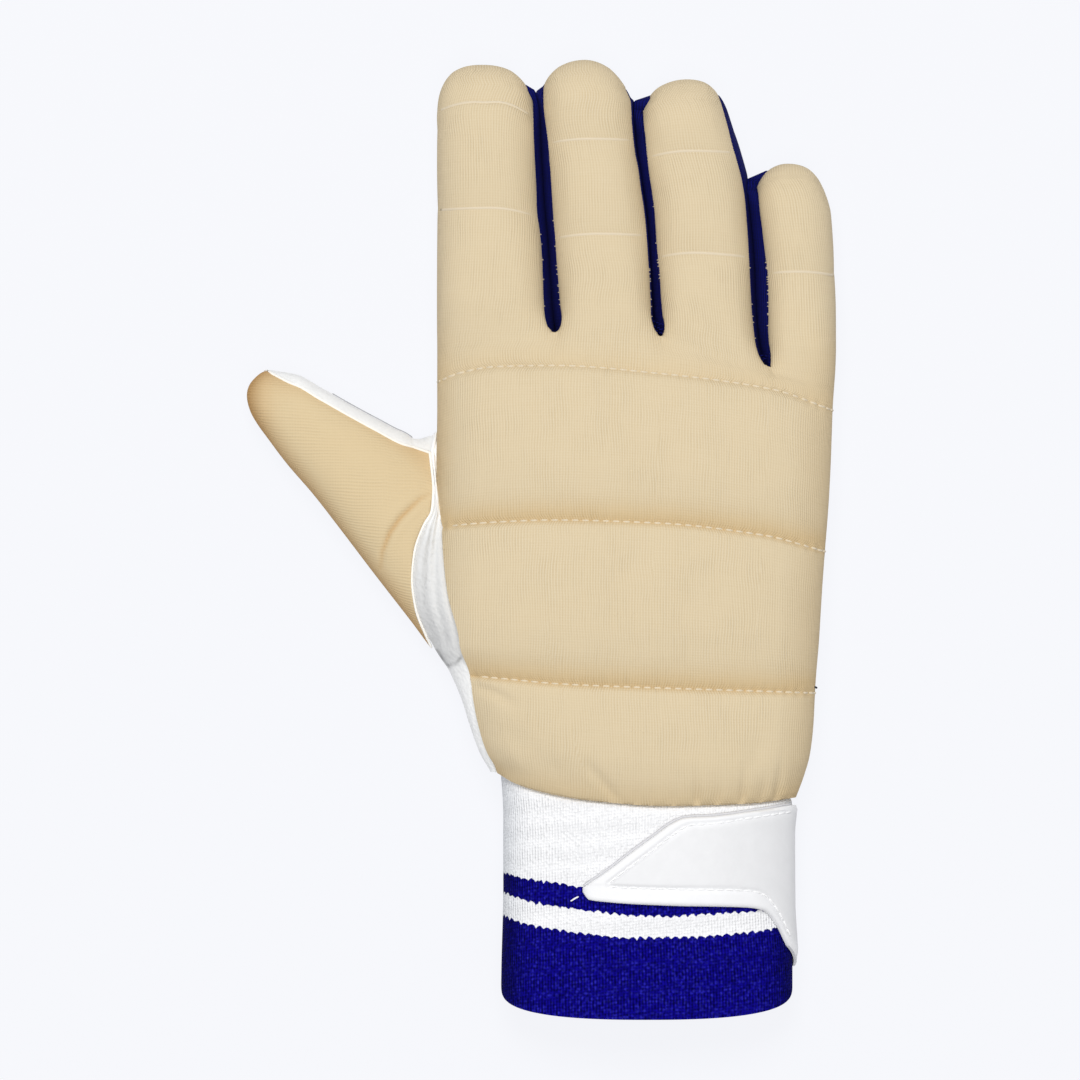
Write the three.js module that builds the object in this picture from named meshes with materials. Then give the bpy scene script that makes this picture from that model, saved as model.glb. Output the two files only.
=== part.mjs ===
// A padded wicketkeeping inner glove for the right hand, resting on its palm with the padded back up.
// Millimetres. X runs towards the little finger, Y towards the fingertips, Z up out of the padded back.
// Every piece is a wall of cloth: an outer skin from smooth cross-sections, and an inner skin set in from it
// towards the middle of the hand, finger, thumb or wrist that it wraps.
import * as THREE from 'three';

// Clearance between neighbouring pieces
const GAP = 0.35;

// Walls
const BACK_WALL = 3.2;
const BACK_SEAM = 1.8;
const PALM_WALL = 1.8;
const STRIP_WALL = 1.2;
const THUMB_WALL = 2.2;
const GUSSET_WALL = 1.4;
const CUFF_WALL = 2.6;
const STRAP_WALL = 1.9;

// Quilting: how far the padding swells between two sewn lines
const HAND_SWELL = 2.6;
const FINGER_SWELL = 1.2;

// Cross-sections
const HAND_POWER = 2.5;
const FINGER_POWER = 2.2;
const WEB_POWER = 3;
const THUMB_POWER = 2.2;
const FLATTENING = 2.5;
const TUCK = 8;
const SEAM_STEP = 2;
const STRIP_BULGE = 1.3;

// Grid steps
const STRIP_COLUMNS = 6;
const THUMB_COLUMNS = 8;
const CUFF_COLUMNS = 40;

const COLOURS = {
  beige: 0xdecda8,
  white: 0xf2f2f0,
  navy: 0x0a0f5a,
};

// The hand from wrist to knuckles: the widest line on each side, the height of the crown and of the widest line,
// and how far in from the thumb side the padded back ends.
const HAND = [
  { y: -76, left: -10.5, right: 70.2, crown: 28.5, middle: 13, inset: 0.5 },
  { y: -66, left: -12.8, right: 73.8, crown: 29.5, middle: 13, inset: 0.8 },
  { y: -60, left: -16.8, right: 75.4, crown: 30, middle: 13, inset: 2.7 },
  { y: -52, left: -19.9, right: 76.4, crown: 30.6, middle: 13, inset: 3.3 },
  { y: -44, left: -22.6, right: 76.9, crown: 31.2, middle: 13, inset: 4.2 },
  { y: -37, left: -25.7, right: 77.3, crown: 31.6, middle: 13, inset: 5.9 },
  { y: -29, left: -30, right: 77.9, crown: 31.8, middle: 13, inset: 7.9 },
  { y: -15, left: -29.8, right: 78.8, crown: 32, middle: 13, inset: 4.6 },
  { y: 3, left: -29.3, right: 80.2, crown: 31.6, middle: 13, inset: 2 },
  { y: 20, left: -28.9, right: 81.2, crown: 30.6, middle: 12.8, inset: 0.4 },
  { y: 36, left: -28.7, right: 81.9, crown: 29.4, middle: 12.5, inset: 0 },
  { y: 48, left: -28.8, right: 82.6, crown: 28, middle: 12, inset: 0 },
  { y: 66, left: -28.8, right: 82.5, crown: 26, middle: 11.5, inset: 0 },
];

// How far below the widest line the palm's thumb-side edge lies, in degrees round the cross-section.
// It dips under the hand where the thumb opens out of it.
const PALM_EDGE = [
  { y: -38, dip: 8 },
  { y: -32, dip: 14 },
  { y: -24, dip: 33 },
  { y: -12, dip: 44 },
  { y: 4, dip: 45 },
  { y: 16, dip: 40 },
  { y: 25, dip: 27 },
  { y: 31, dip: 12 },
  { y: 38, dip: 8 },
];

// Lines across the hand: y at named fractions of the hand's width, thumb side first. Three lie where fingers part.
const ACROSS = { side: 0, near: 0.06, pad: 0.15, split1: 0.297, split2: 0.561, split3: 0.837, far: 1 };
const LINES = {
  wrist: { side: -64.4, near: -68.1, pad: -70.6, split1: -72.8, split2: -74.4, split3: -73.8, far: -72.1 },
  quilt3: { side: -38.4, near: -38.8, pad: -39.2, split1: -40.1, split2: -41.7, split3: -42.8, far: -42 },
  quilt2: { side: 3.1, near: 4.1, pad: 4.9, split1: 5.5, split2: 4.7, split3: 1.3, far: -3.3 },
  quilt1: { side: 44.1, near: 46.7, pad: 48.4, split1: 48.7, split2: 46.4, split3: 42.2, far: 36.2 },
  crotch: { side: 58, near: 58.3, pad: 58.6, split1: 58.2, split2: 57.2, split3: 48.4, far: 46 },
};
const PALM_WRIST = { side: -64.4, near: -64, pad: -64, split1: -65, split2: -67, split3: -70, far: -72.1 };

// The fingers: edges of the padded back as seen from above, the crown, and where the tip begins and ends.
// Stops are the sewn lines, in shares of the length up to the tip; past 1 they are shares of the tip.
// Closes is where the back meets the palm round the tip on each side, above the strip between the fingers.
const FINGERS = [
  {
    name: 'index', tipStart: 115, tipEnd: 132.9, lean: -1.1, crown: 22.5, baseCrown: 25, middle: 10.8,
    outer: 'left', stops: [0, 0.61, 1.42, 2], closes: { left: 1.55, right: 1.87 },
    edges: [
      { y: 50, left: -28.7, right: 4.2 }, { y: 58.4, left: -28.7, right: 3.4 },
      { y: 60, left: -28.7, right: 2.3 }, { y: 62.5, left: -28.6, right: 1.7 },
      { y: 72, left: -28.6, right: 0.9 }, { y: 84, left: -28.6, right: 0.2 },
      { y: 99, left: -28.6, right: -1.2 }, { y: 110, left: -28.6, right: -1.6 },
      { y: 116, left: -28.5, right: -1.8 },
    ],
  },
  {
    name: 'middle', tipStart: 121, tipEnd: 134.5, lean: -0.7, crown: 22.5, baseCrown: 26, middle: 11,
    outer: 'none', stops: [0, 0.44, 0.86, 2], closes: { left: 1.67, right: 1.6 },
    edges: [
      { y: 50, left: 4.2, right: 33.6 }, { y: 58.4, left: 5.4, right: 32.6 },
      { y: 60, left: 6, right: 31.6 }, { y: 67, left: 5.7, right: 30.9 },
      { y: 76, left: 4.9, right: 30.4 }, { y: 88, left: 4, right: 29.8 },
      { y: 100, left: 2.95, right: 28.2 }, { y: 110, left: 2.2, right: 26.4 },
      { y: 117, left: 1.8, right: 25.9 }, { y: 122, left: 1.4, right: 25 },
    ],
  },
  {
    name: 'ring', tipStart: 115, tipEnd: 129, lean: 0.3, crown: 22, baseCrown: 25.5, middle: 11,
    outer: 'none', stops: [0, 0.44, 0.9, 2], closes: { left: 1.93, right: 1.97 },
    edges: [
      { y: 48, left: 33.6, right: 64 }, { y: 50, left: 34, right: 62 },
      { y: 54, left: 34.3, right: 60.6 }, { y: 58, left: 34.7, right: 59.9 },
      { y: 64, left: 34, right: 59.2 }, { y: 72, left: 33.5, right: 58.8 },
      { y: 80, left: 33, right: 58.5 }, { y: 88, left: 32.3, right: 57.9 },
      { y: 99, left: 31.2, right: 56.5 }, { y: 110, left: 29.8, right: 53.7 },
      { y: 116, left: 29.1, right: 51.8 },
    ],
  },
  {
    name: 'little', tipStart: 92, tipEnd: 105.5, lean: -1.8, crown: 20.5, baseCrown: 24, middle: 10.2,
    outer: 'right', stops: [0, 0.62, 2], closes: { left: 1.97, right: 1.55 },
    edges: [
      { y: 44, left: 64.2, right: 82.5 }, { y: 50, left: 64.7, right: 82.6 },
      { y: 56, left: 64, right: 82.6 }, { y: 64, left: 63.7, right: 82.6 },
      { y: 78, left: 63.2, right: 82.2 }, { y: 92, left: 61.8, right: 81.2 },
    ],
  },
];
const TIP_SQUARENESS = 2.15;

// How far above the widest line the back ends beside a strip, in degrees, on the way from the tip's start
// to where back and palm meet.
const STRIP_SEAM = [
  { closing: 0, turn: 26 }, { closing: 0.3, turn: 31 }, { closing: 0.7, turn: 31 },
  { closing: 0.92, turn: 22 }, { closing: 1, turn: 0 },
];

// The partings between fingers: the height of the notch at the tips, where between the two fingers their
// strips meet, and how far the first finger's strip stands out past the notch.
const PARTINGS = [
  { notch: 125.7, meeting: 0.5, free: 0 },
  { notch: 122.9, meeting: 0.2, free: 0 },
  { notch: 100.5, meeting: 0.3, free: 0.9 },
];

// The thumb from hand to tip: its far edge, towards the fingers, and its near edge, as seen from above,
// its crown, and how much of the far edge is white.
const THUMB = [
  { farX: -30, farY: 28.6, nearX: -30.2, nearY: -30.5, crown: 19, middle: 8.5, edging: 4.1 },
  { farX: -38, farY: 30.2, nearX: -38, nearY: -20.4, crown: 20.5, middle: 8.5, edging: 3.6 },
  { farX: -45.6, farY: 33.9, nearX: -47, nearY: -8.8, crown: 21, middle: 8.5, edging: 3.4 },
  { farX: -53.4, farY: 38.1, nearX: -55.5, nearY: 2.4, crown: 20.7, middle: 8.5, edging: 3.3 },
  { farX: -61.1, farY: 42.5, nearX: -63.5, nearY: 12.7, crown: 19.8, middle: 8.3, edging: 3.3 },
  { farX: -68.2, farY: 46.3, nearX: -71, nearY: 21.4, crown: 18.4, middle: 8, edging: 3 },
  { farX: -75, farY: 47.5, nearX: -77.4, nearY: 29.9, crown: 16.8, middle: 7.6, edging: 1 },
];

// How far the thumb's round end reaches past the last row, on its near and its far side.
const THUMB_TIP = { near: { x: -5.6, y: 4.4 }, far: { x: -6.2, y: 0.8 } };

// Where the thumb's beige face ends against the white gusset, from the far side to the near side.
const THUMB_ROOT = [
  { at: 0, x: -30.9, y: 24.5, z: 14.6 },
  { at: 1, x: -29.9, y: 14.5, z: 17.6 },
  { at: 2, x: -30.3, y: 8.4, z: 18.8 },
  { at: 3, x: -32.6, y: 4, z: 19.2 },
  { at: 4, x: -35.2, y: -3.5, z: 19 },
  { at: 5, x: -35.9, y: -11, z: 18.2 },
  { at: 6, x: -34.9, y: -19, z: 16 },
  { at: 7, x: -32.4, y: -25.8, z: 12.4 },
  { at: 8, x: -30.5, y: -30, z: 9.4 },
];

// The cuff from hand to hem.
const CUFF = [
  { along: 0, left: -11.2, right: 69.9, crown: 28 },
  { along: 0.2, left: -10.3, right: 69.4, crown: 28 },
  { along: 0.55, left: -10.2, right: 69.8, crown: 27.6 },
  { along: 0.9, left: -10.4, right: 70.8, crown: 27.4 },
  { along: 1, left: -10.6, right: 70.8, crown: 27.2 },
];
const CUFF_MIDDLE = 12.6;
const HEM = { y: -124.2, dip: 10, underDip: -2, roundness: 0.8 };

// The strap: its two edges as seen from above. Past the last row it wraps down the little-finger side.
const STRAP = [
  { x: 11.9, upper: -97.3, lower: -98.4 },
  { x: 13.6, upper: -96.1, lower: -100.6 },
  { x: 19, upper: -92.4, lower: -101.3 },
  { x: 25.4, upper: -87.5, lower: -101.8 },
  { x: 31.8, upper: -82.8, lower: -102.1 },
  { x: 37, upper: -79, lower: -102.3 },
  { x: 40.6, upper: -77.6, lower: -102.4 },
  { x: 48, upper: -77, lower: -102.5 },
  { x: 57.5, upper: -76, lower: -102.8 },
  { x: 62, upper: -75.6, lower: -103.6 },
  { x: 65.5, upper: -75.3, lower: -107.6 },
  { x: 68, upper: -75, lower: -113.5 },
];
const STRAP_END = { turn: -28, upper: -75, lower: -119.4 };

// A smooth curve through a table: the column named value against the column named key.
function curve(rows, key, value) {
  const at = rows.map((row) => row[key]);
  const to = rows.map((row) => row[value]);
  const rise = at.slice(1).map((a, i) => (to[i + 1] - to[i]) / (a - at[i]));
  const slope = at.map((_, i) => {
    if (i === 0) return rise[0];
    if (i === at.length - 1) return rise[i - 1];
    return rise[i - 1] * rise[i] <= 0 ? 0 : (2 * rise[i - 1] * rise[i]) / (rise[i - 1] + rise[i]);
  });
  return (wanted) => {
    const x = THREE.MathUtils.clamp(wanted, at[0], at[at.length - 1]);
    let i = at.findIndex((a) => a >= x);
    i = Math.max(i, 1) - 1;
    const width = at[i + 1] - at[i];
    const t = (x - at[i]) / width;
    const ease = t * t * (3 - 2 * t);
    return to[i] + (to[i + 1] - to[i]) * ease
      + width * t * (1 - t) * (slope[i] * (1 - t) - slope[i + 1] * t);
  };
}

const mix = (a, b, share) => a + (b - a) * share;
const point = (x, y, z) => new THREE.Vector3(x, y, z);
const blend = (a, b, share) => a.clone().lerp(b, share);
const power = (value, exponent) => Math.sign(value) * Math.abs(value) ** exponent;

// Where a turn in degrees lies on a rounded cross-section: across runs -1 to 1, up is 1 on top and -1 below.
function around(turn, exponent) {
  const angle = THREE.MathUtils.degToRad(turn);
  return { across: power(Math.cos(angle), 2 / exponent), up: power(Math.sin(angle), 2 / exponent) };
}

// The turn at which a cross-section has the given place across.
function turnAt(across, exponent) {
  return THREE.MathUtils.radToDeg(Math.acos(power(across, exponent / 2)));
}

const isUnder = (turn) => THREE.MathUtils.euclideanModulo(turn, 360) > 180;

// Height of a section: a crown above its widest line, and a flattened floor below it.
function height(turn, up, crown, middle) {
  if (isUnder(turn)) return Math.max(0, middle + (middle + FLATTENING) * up);
  return middle + GAP + (crown - middle - GAP) * up;
}

// Height of the line that a section's walls are set in towards.
const coreHeight = (turn, middle) => middle + (isUnder(turn) ? 0 : GAP);

const handLeft = curve(HAND, 'y', 'left');
const handRight = curve(HAND, 'y', 'right');
const handCrown = curve(HAND, 'y', 'crown');
const handMiddle = curve(HAND, 'y', 'middle');
const handInset = curve(HAND, 'y', 'inset');
const palmEdgeDip = curve(PALM_EDGE, 'y', 'dip');

// A line across the hand as a curve of y against the share of the width.
function lineAcross(line) {
  const rows = Object.keys(ACROSS).map((name) => ({ at: ACROSS[name], y: line[name] }));
  return curve(rows, 'at', 'y');
}
const lines = Object.fromEntries(Object.entries(LINES).map(([name, line]) => [name, lineAcross(line)]));
const palmWrist = lineAcross(PALM_WRIST);

// A skin point is where the cloth's outer face is, and the core that its wall is set in towards.
function handSkin(turn, line) {
  const { across, up } = around(turn, HAND_POWER);
  const y = line((across + 1) / 2);
  const half = (handRight(y) - handLeft(y)) / 2;
  const centre = (handRight(y) + handLeft(y)) / 2;
  const x = centre + half * across;
  const reach = half - handMiddle(y);
  const core = point(
    THREE.MathUtils.clamp(x, centre - reach, centre + reach),
    y,
    coreHeight(turn, handMiddle(y)),
  );
  return { at: point(x, y, height(turn, up, handCrown(y), handMiddle(y))), core, edge: Math.abs(up) };
}

const fingers = FINGERS.map((finger, number) => ({
  ...finger,
  number,
  left: curve(finger.edges, 'y', 'left'),
  right: curve(finger.edges, 'y', 'right'),
  bulgeLeft: finger.outer === 'left' ? 0 : STRIP_BULGE,
  bulgeRight: finger.outer === 'right' ? 0 : STRIP_BULGE,
}));

// The share of the hand's width where one finger's strip of the back begins or ends.
const splitShares = [ACROSS.side, ACROSS.split1, ACROSS.split2, ACROSS.split3, ACROSS.far];

// A point on a finger: turn goes round it, and along is 0 at the hand, 1 where the tip begins and 2 at its end.
function fingerSkin(finger, turn, along) {
  const straight = Math.min(along, 1);
  const tip = Math.max(along - 1, 0);
  const baseLeft = lines.crotch(splitShares[finger.number]);
  const baseRight = lines.crotch(splitShares[finger.number + 1]);
  const level = mix((baseLeft + baseRight) / 2, finger.tipStart, straight);
  const slant = ((baseRight - baseLeft) / 2) * (1 - straight) ** 3;
  const yLeft = level - slant;
  const yRight = level + slant;
  const left = finger.left(yLeft) - finger.bulgeLeft;
  const right = finger.right(yRight) + finger.bulgeRight;
  const exponent = mix(WEB_POWER, FINGER_POWER, Math.min(1, straight * 1.6));
  const { across, up } = around(turn, exponent);
  const half = (right - left) / 2;
  const crown = mix(finger.baseCrown, finger.crown, straight);
  const round = tip > 0 ? roundness(across, tip) : 1;
  const side = across * Math.sqrt(1 - tip * tip / 2) * round;
  const forward = tip * Math.sqrt(1 - across * across / 2) * round;
  const fall = Math.sqrt(1 - tip * tip);
  const x = (left + right) / 2 + half * side + finger.lean * forward;
  const y = mix(yLeft, yRight, (across + 1) / 2) + (finger.tipEnd - finger.tipStart) * forward;
  const core = point((left + right) / 2, Math.min(y, finger.tipStart), coreHeight(turn, finger.middle));
  return { at: point(x, y, height(turn, up * fall, crown, finger.middle)), core, edge: Math.abs(up) * fall };
}

// Squares the round end of a tip a little: the stretch of a place across and along it.
function roundness(across, tip) {
  const a = Math.abs(across * Math.sqrt(1 - tip * tip / 2));
  const b = tip * Math.sqrt(1 - across * across / 2);
  const size = Math.hypot(a, b);
  return size / (a ** TIP_SQUARENESS + b ** TIP_SQUARENESS) ** (1 / TIP_SQUARENESS);
}

const stripSeam = curve(STRIP_SEAM, 'closing', 'turn');

// Where a finger's back ends, in degrees above its widest line, and where its palm begins, in degrees below
// it. The seams come together round the tip.
function seamTurn(finger, side, along, panel) {
  const closing = THREE.MathUtils.clamp((along - 1) / (finger.closes[side] - 1), 0, 1);
  const beside = finger.outer === side;
  if (panel === 'back') return beside ? -TUCK * (1 - closing) : stripSeam(closing);
  return (beside ? TUCK : STRIP_SEAM[0].turn) * (1 - closing) + SEAM_STEP;
}

// A piece of the skin of one finger's strip, over the hand or the finger, on the back or on the palm.
// Row: { line } across the hand or { along } a finger, with share, how much of the finger's form it has.
function stripSkin(finger, share, row, side) {
  const turnFor = side === 'back' ? backTurn : palmTurn;
  if (row.line) {
    const turn = turnFor.hand(finger, share, row.line);
    const skin = handSkin(turn, row.line);
    if (!row.share) return skin;
    const ownTurn = turnFor.finger(finger, share, 0);
    const own = fingerSkin(finger, ownTurn, 0);
    skin.at.lerp(own.at, row.share);
    skin.core.lerp(own.core, row.share);
    return skin;
  }
  const skin = fingerSkin(finger, turnFor.finger(finger, share, row.along), row.along);
  if (row.share === 1) return skin;
  const handTurn = turnFor.hand(finger, share, () => skin.at.y);
  const over = handSkin(handTurn, () => skin.at.y);
  skin.at.z = mix(over.at.z, skin.at.z, row.share);
  return skin;
}

const backTurn = {
  // On the hand the turns are spread evenly between the places where the fingers part.
  hand(finger, share, line) {
    const y = line(0);
    const half = (handRight(y) - handLeft(y)) / 2;
    const inset = handInset(y);
    const tucked = TUCK * Math.max(0, 1 - inset);
    const sideTurn = 180 - turnAt(Math.max(0, 1 - inset / half), HAND_POWER) + tucked;
    const knots = [sideTurn, ...splitShares.slice(1, 4).map((s) => turnAt(s * 2 - 1, HAND_POWER)), -TUCK];
    return mix(knots[finger.number], knots[finger.number + 1], share);
  },
  finger(finger, share, along) {
    const [left, right] = ['left', 'right'].map((side) => seamTurn(finger, side, along, 'back'));
    return mix(180 - left, right, share);
  },
};

const palmTurn = {
  hand(finger, share, line) {
    const dip = palmEdgeDip(line(0)) + SEAM_STEP;
    const splits = splitShares.slice(1, 4).map((s) => 360 - turnAt(s * 2 - 1, HAND_POWER));
    const knots = [180 + dip, ...splits, 360 - TUCK - SEAM_STEP];
    return mix(knots[finger.number], knots[finger.number + 1], share);
  },
  finger(finger, share, along) {
    const [left, right] = ['left', 'right'].map((side) => seamTurn(finger, side, along, 'palm'));
    return mix(180 + left, 360 - right, share);
  },
};

// The cloth at a skin point: its outer face, swollen by the padding, and its inner face. It swells up and
// along more than to the side, where the sewn border holds it.
const SWELL = point(0.45, 1, 1);

function cloth(skin, wall, swell = 0) {
  const inward = skin.core.clone().sub(skin.at).normalize();
  const outer = skin.at.clone().addScaledVector(inward.clone().multiply(SWELL), -swell);
  return { outer, inner: skin.at.clone().addScaledVector(inward, wall) };
}

// Shares of the way from one sewn line to the next, close together near the lines.
const PAD_STEPS = [0, 0.1, 0.3, 0.6, 0.86];
const LONG_STEPS = [0, 0.1, 0.25, 0.42, 0.58, 0.74, 0.88, 0.95];
const puff = (share) => Math.sin(Math.PI * share ** 0.85) ** 0.6;

// Rows of the padded back over the hand, from the wrist to where the fingers part.
function handRows() {
  const order = ['wrist', 'quilt3', 'quilt2', 'quilt1', 'crotch'];
  const rows = [];
  order.slice(0, -1).forEach((name, i) => {
    const next = order[i + 1];
    const last = next === 'crotch';
    (last ? [0, 0.5] : PAD_STEPS).forEach((step) => {
      rows.push({
        line: (share) => mix(lines[name](share), lines[next](share), step),
        share: last ? step * 0.6 : 0,
        swell: last ? HAND_SWELL * 0.6 * step : HAND_SWELL * puff(step),
        wall: mix(BACK_SEAM, BACK_WALL, last ? step : puff(step)),
      });
    });
  });
  rows.push({ line: lines.crotch, share: 0.6, swell: 0.8, wall: BACK_WALL });
  return rows;
}

// Rows along a finger past the crotch, with its sewn lines.
function fingerRows(finger) {
  const rows = [];
  finger.stops.slice(0, -1).forEach((from, i) => {
    const to = finger.stops[i + 1];
    const steps = i === 0 ? [0.08, 0.24, 0.5, 0.8] : to > 1 ? LONG_STEPS : PAD_STEPS;
    steps.forEach((step) => {
      const along = mix(from, to, step);
      const puffed = i === 0 ? Math.min(1, 0.6 + step) * (1 - step ** 8) : puff(step);
      rows.push({
        along,
        share: Math.min(1, 0.72 + along * 1.8),
        swell: FINGER_SWELL * puffed * Math.sqrt(Math.max(0, 2 - along) / (along > 1 ? 1 : 2 - along)),
        wall: mix(BACK_SEAM, BACK_WALL, puffed),
      });
    });
  });
  rows.push({ along: 2, share: 1, swell: 0, wall: BACK_SEAM });
  return rows;
}

// The cloth of one strip of the back or palm at a row, as a list across. Neighbours share the points between them.
function stripRow(finger, row, side) {
  const list = [];
  for (let i = 0; i <= STRIP_COLUMNS; i += 1) {
    const share = i / STRIP_COLUMNS;
    const skin = stripSkin(finger, share, row, side);
    const neighbour = fingers[finger.number + (i === 0 ? -1 : 1)];
    if (row.line && neighbour && (i === 0 || i === STRIP_COLUMNS)) {
      const other = stripSkin(neighbour, i === 0 ? 1 : 0, row, side);
      skin.at.lerp(other.at, 0.5);
      skin.core.lerp(other.core, 0.5);
      skin.edge = mix(skin.edge, other.edge, 0.5);
    }
    const rim = Math.min(1, Math.min(share, 1 - share) * 3);
    const fade = row.along !== undefined ? rim : Math.min(1, skin.edge * 1.4);
    const wall = side === 'palm' ? PALM_WALL : mix(BACK_SEAM, row.wall, fade);
    list.push(cloth(skin, wall, side === 'palm' ? 0 : row.swell * fade));
  }
  return list;
}

// Turns patches of cloth, each a grid of outer and inner points, into one closed wall.
function closedWall(name, patches, colour, roughness) {
  const outer = [];
  const inner = [];
  const known = new Map();
  const idOf = (piece) => {
    const key = piece.outer.toArray().map((v) => Math.round(v * 1000)).join();
    if (!known.has(key)) {
      known.set(key, outer.length);
      outer.push(piece.outer);
      inner.push(piece.inner);
    }
    return known.get(key);
  };
  const faces = [];
  patches.forEach((grid) => {
    const ids = grid.map((row) => row.map(idOf));
    for (let r = 0; r + 1 < ids.length; r += 1) {
      for (let c = 0; c + 1 < ids[r].length; c += 1) {
        const [a, b, d, e] = [ids[r][c], ids[r][c + 1], ids[r + 1][c + 1], ids[r + 1][c]];
        [[a, b, d], [a, d, e]].forEach((face) => {
          if (new Set(face).size === 3) faces.push(face);
        });
      }
    }
  });
  const count = outer.length;
  const sides = new Set(faces.flatMap(([a, b, c]) => [`${a},${b}`, `${b},${c}`, `${c},${a}`]));
  const index = [];
  faces.forEach(([a, b, c]) => {
    index.push(a, b, c, a + count, c + count, b + count);
    [[a, b], [b, c], [c, a]].forEach(([from, to]) => {
      if (sides.has(`${to},${from}`)) return;
      index.push(to, from, from + count, to, from + count, to + count);
    });
  });
  const all = [...outer, ...inner];
  if (facesInwards(all, index)) {
    for (let i = 0; i < index.length; i += 3) [index[i], index[i + 1]] = [index[i + 1], index[i]];
  }
  const geometry = new THREE.BufferGeometry().setFromPoints(all);
  geometry.setIndex(index);
  geometry.computeVertexNormals();
  const mesh = new THREE.Mesh(geometry, new THREE.MeshStandardMaterial({ color: colour, roughness, metalness: 0 }));
  mesh.name = name;
  return mesh;
}

// Whether the triangles of a closed surface face inwards.
function facesInwards(points, index) {
  let total = 0;
  for (let i = 0; i < index.length; i += 3) {
    const [a, b, c] = [points[index[i]], points[index[i + 1]], points[index[i + 2]]];
    total += a.dot(b.clone().cross(c));
  }
  return total < 0;
}

// The padded back: four strips that are one cloth over the hand and part into the fingers.
function backPanel() {
  const patches = fingers.map((finger) => {
    const rows = [...handRows(), ...fingerRows(finger)];
    return rows.map((row) => stripRow(finger, row, 'back'));
  });
  return closedWall('back_panel', patches, COLOURS.beige, 0.85);
}

// The palm: the same strips under the hand and fingers.
const PALM_STEPS = [0, 0.1, 0.2, 0.27, 0.33, 0.4, 0.5, 0.6, 0.67, 0.73, 0.79, 0.87];
const PALM_FINGER_STEPS = [0.05, 0.2, 0.5, 0.8, 1, 1.35, 1.65, 1.88, 2];

function palmPanel() {
  const handPart = PALM_STEPS.map((step) => ({
    line: (share) => mix(palmWrist(share), lines.crotch(share), step),
    share: step > 0.8 ? 0.3 : 0,
  }));
  handPart.push({ line: lines.crotch, share: 0.6 });
  const fingerPart = PALM_FINGER_STEPS.map((along) => ({ along, share: Math.min(1, 0.72 + along * 1.8) }));
  const patches = fingers.map((finger) => [...handPart, ...fingerPart].map((row) => stripRow(finger, row, 'palm')));
  return closedWall('palm_panel', patches, COLOURS.white, 0.75);
}

// Stations along a finger's side, in shares of the way from where the seams close to the tip's start, then
// in shares of the finger.
const STRIP_TIP = [0.2, 0.45, 0.72];
const STRIP_ALONG = [1, 0.85, 0.7, 0.5, 0.3, 0.15, 0.06];
const STRIP_ROWS = 5;
const CREASE = { forward: -0.8, drop: 3.6, bulge: 0.8 };

// A finger's side from near its tip to the hand: where the back and the palm end, and the core between them.
function flank(finger, side) {
  const stations = [...STRIP_TIP.map((share) => mix(finger.closes[side], 1, share)), ...STRIP_ALONG];
  return stations.map((along) => {
    const row = { along, share: Math.min(1, 0.72 + along * 1.8) };
    const top = stripSkin(finger, side === 'left' ? 0 : 1, row, 'back');
    const bottom = stripSkin(finger, side === 'left' ? 0 : 1, row, 'palm');
    const widest = fingerSkin(finger, side === 'left' ? 180 : 0, along).at;
    const clear = GAP * (along > 1 ? 3.2 : 1.7);
    top.at.z -= clear;
    bottom.at.z += clear;
    const core = blend(top.core, bottom.core, 0.5);
    return { top: top.at, bottom: bottom.at, core, x: (top.at.x + bottom.at.x) / 2, y: widest.y, widest: widest.x };
  });
}

// One line of a strip from the back's edge to the palm's, bulging by the given amounts.
function stripLine(top, bottom, bulge, inwardAt) {
  const list = [];
  for (let i = 0; i <= STRIP_ROWS; i += 1) {
    const share = i / STRIP_ROWS;
    const at = blend(top, bottom, share).addScaledVector(bulge, Math.sin(Math.PI * share));
    list.push({ outer: at, inner: at.clone().addScaledVector(inwardAt(at), STRIP_WALL) });
  }
  return list;
}

// A strip between two fingers: up the side of one, round the parting and up the side of the next. The two
// sides all but meet in the slit, and past the notch each follows its own finger.
function fourchette(first, second) {
  const parting = PARTINGS[first.number];
  const sides = [flank(first, 'right'), flank(second, 'left')];
  const seams = sides.map((side) => curve(side.toReversed(), 'y', 'x'));
  const flanks = sides.map((side, i) => side.map((station) => {
    const way = i === 0 ? 1 : -1;
    const reach = i === 0 ? parting.meeting : 1 - parting.meeting;
    const meet = mix(station.x, seams[1 - i](station.y), reach) - (way * GAP) / 2;
    const past = THREE.MathUtils.clamp((station.y - parting.notch) / 6, 0, 1);
    const own = station.widest + (i === 0 ? parting.free * (1 - past) : 0);
    const edge = mix(meet, own, Math.min(1, past * 6));
    const inwardAt = (at) => station.core.clone().sub(at).normalize();
    return stripLine(station.top, station.bottom, point(edge - station.x, 0, 0), inwardAt);
  }));
  const row = { line: lines.crotch, share: 0.6, swell: 0, wall: 0 };
  const [back, palm] = ['back', 'palm'].map((side) => stripRow(second, row, side)[0].outer);
  const y = lines.crotch(splitShares[second.number]) + CREASE.forward;
  const top = point(back.x, y, back.z - CREASE.drop);
  const bottom = point(palm.x, y, palm.z + PALM_WALL + CREASE.drop / 2);
  const ends = flanks.map((side) => side.at(-1));
  const crease = stripLine(top, bottom, point(0, CREASE.bulge, 0), () => point(0, -1, 0));
  crease.forEach(({ outer, inner }, i) => {
    outer.x = (ends[0][i].outer.x + ends[1][i].outer.x) / 2;
    inner.x = outer.x;
  });
  const rows = [...flanks[0], crease, ...flanks[1].toReversed()];
  return closedWall(`fourchette_${first.name}_${second.name}`, [rows], COLOURS.navy, 0.9);
}

const thumbStations = Object.fromEntries(
  ['farX', 'farY', 'nearX', 'nearY', 'crown', 'middle', 'edging'].map((column) => [
    column,
    curve(THUMB.map((row, at) => ({ at, value: row[column] })), 'at', 'value'),
  ]),
);
const THUMB_STATIONS = THUMB.length - 1;

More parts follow.
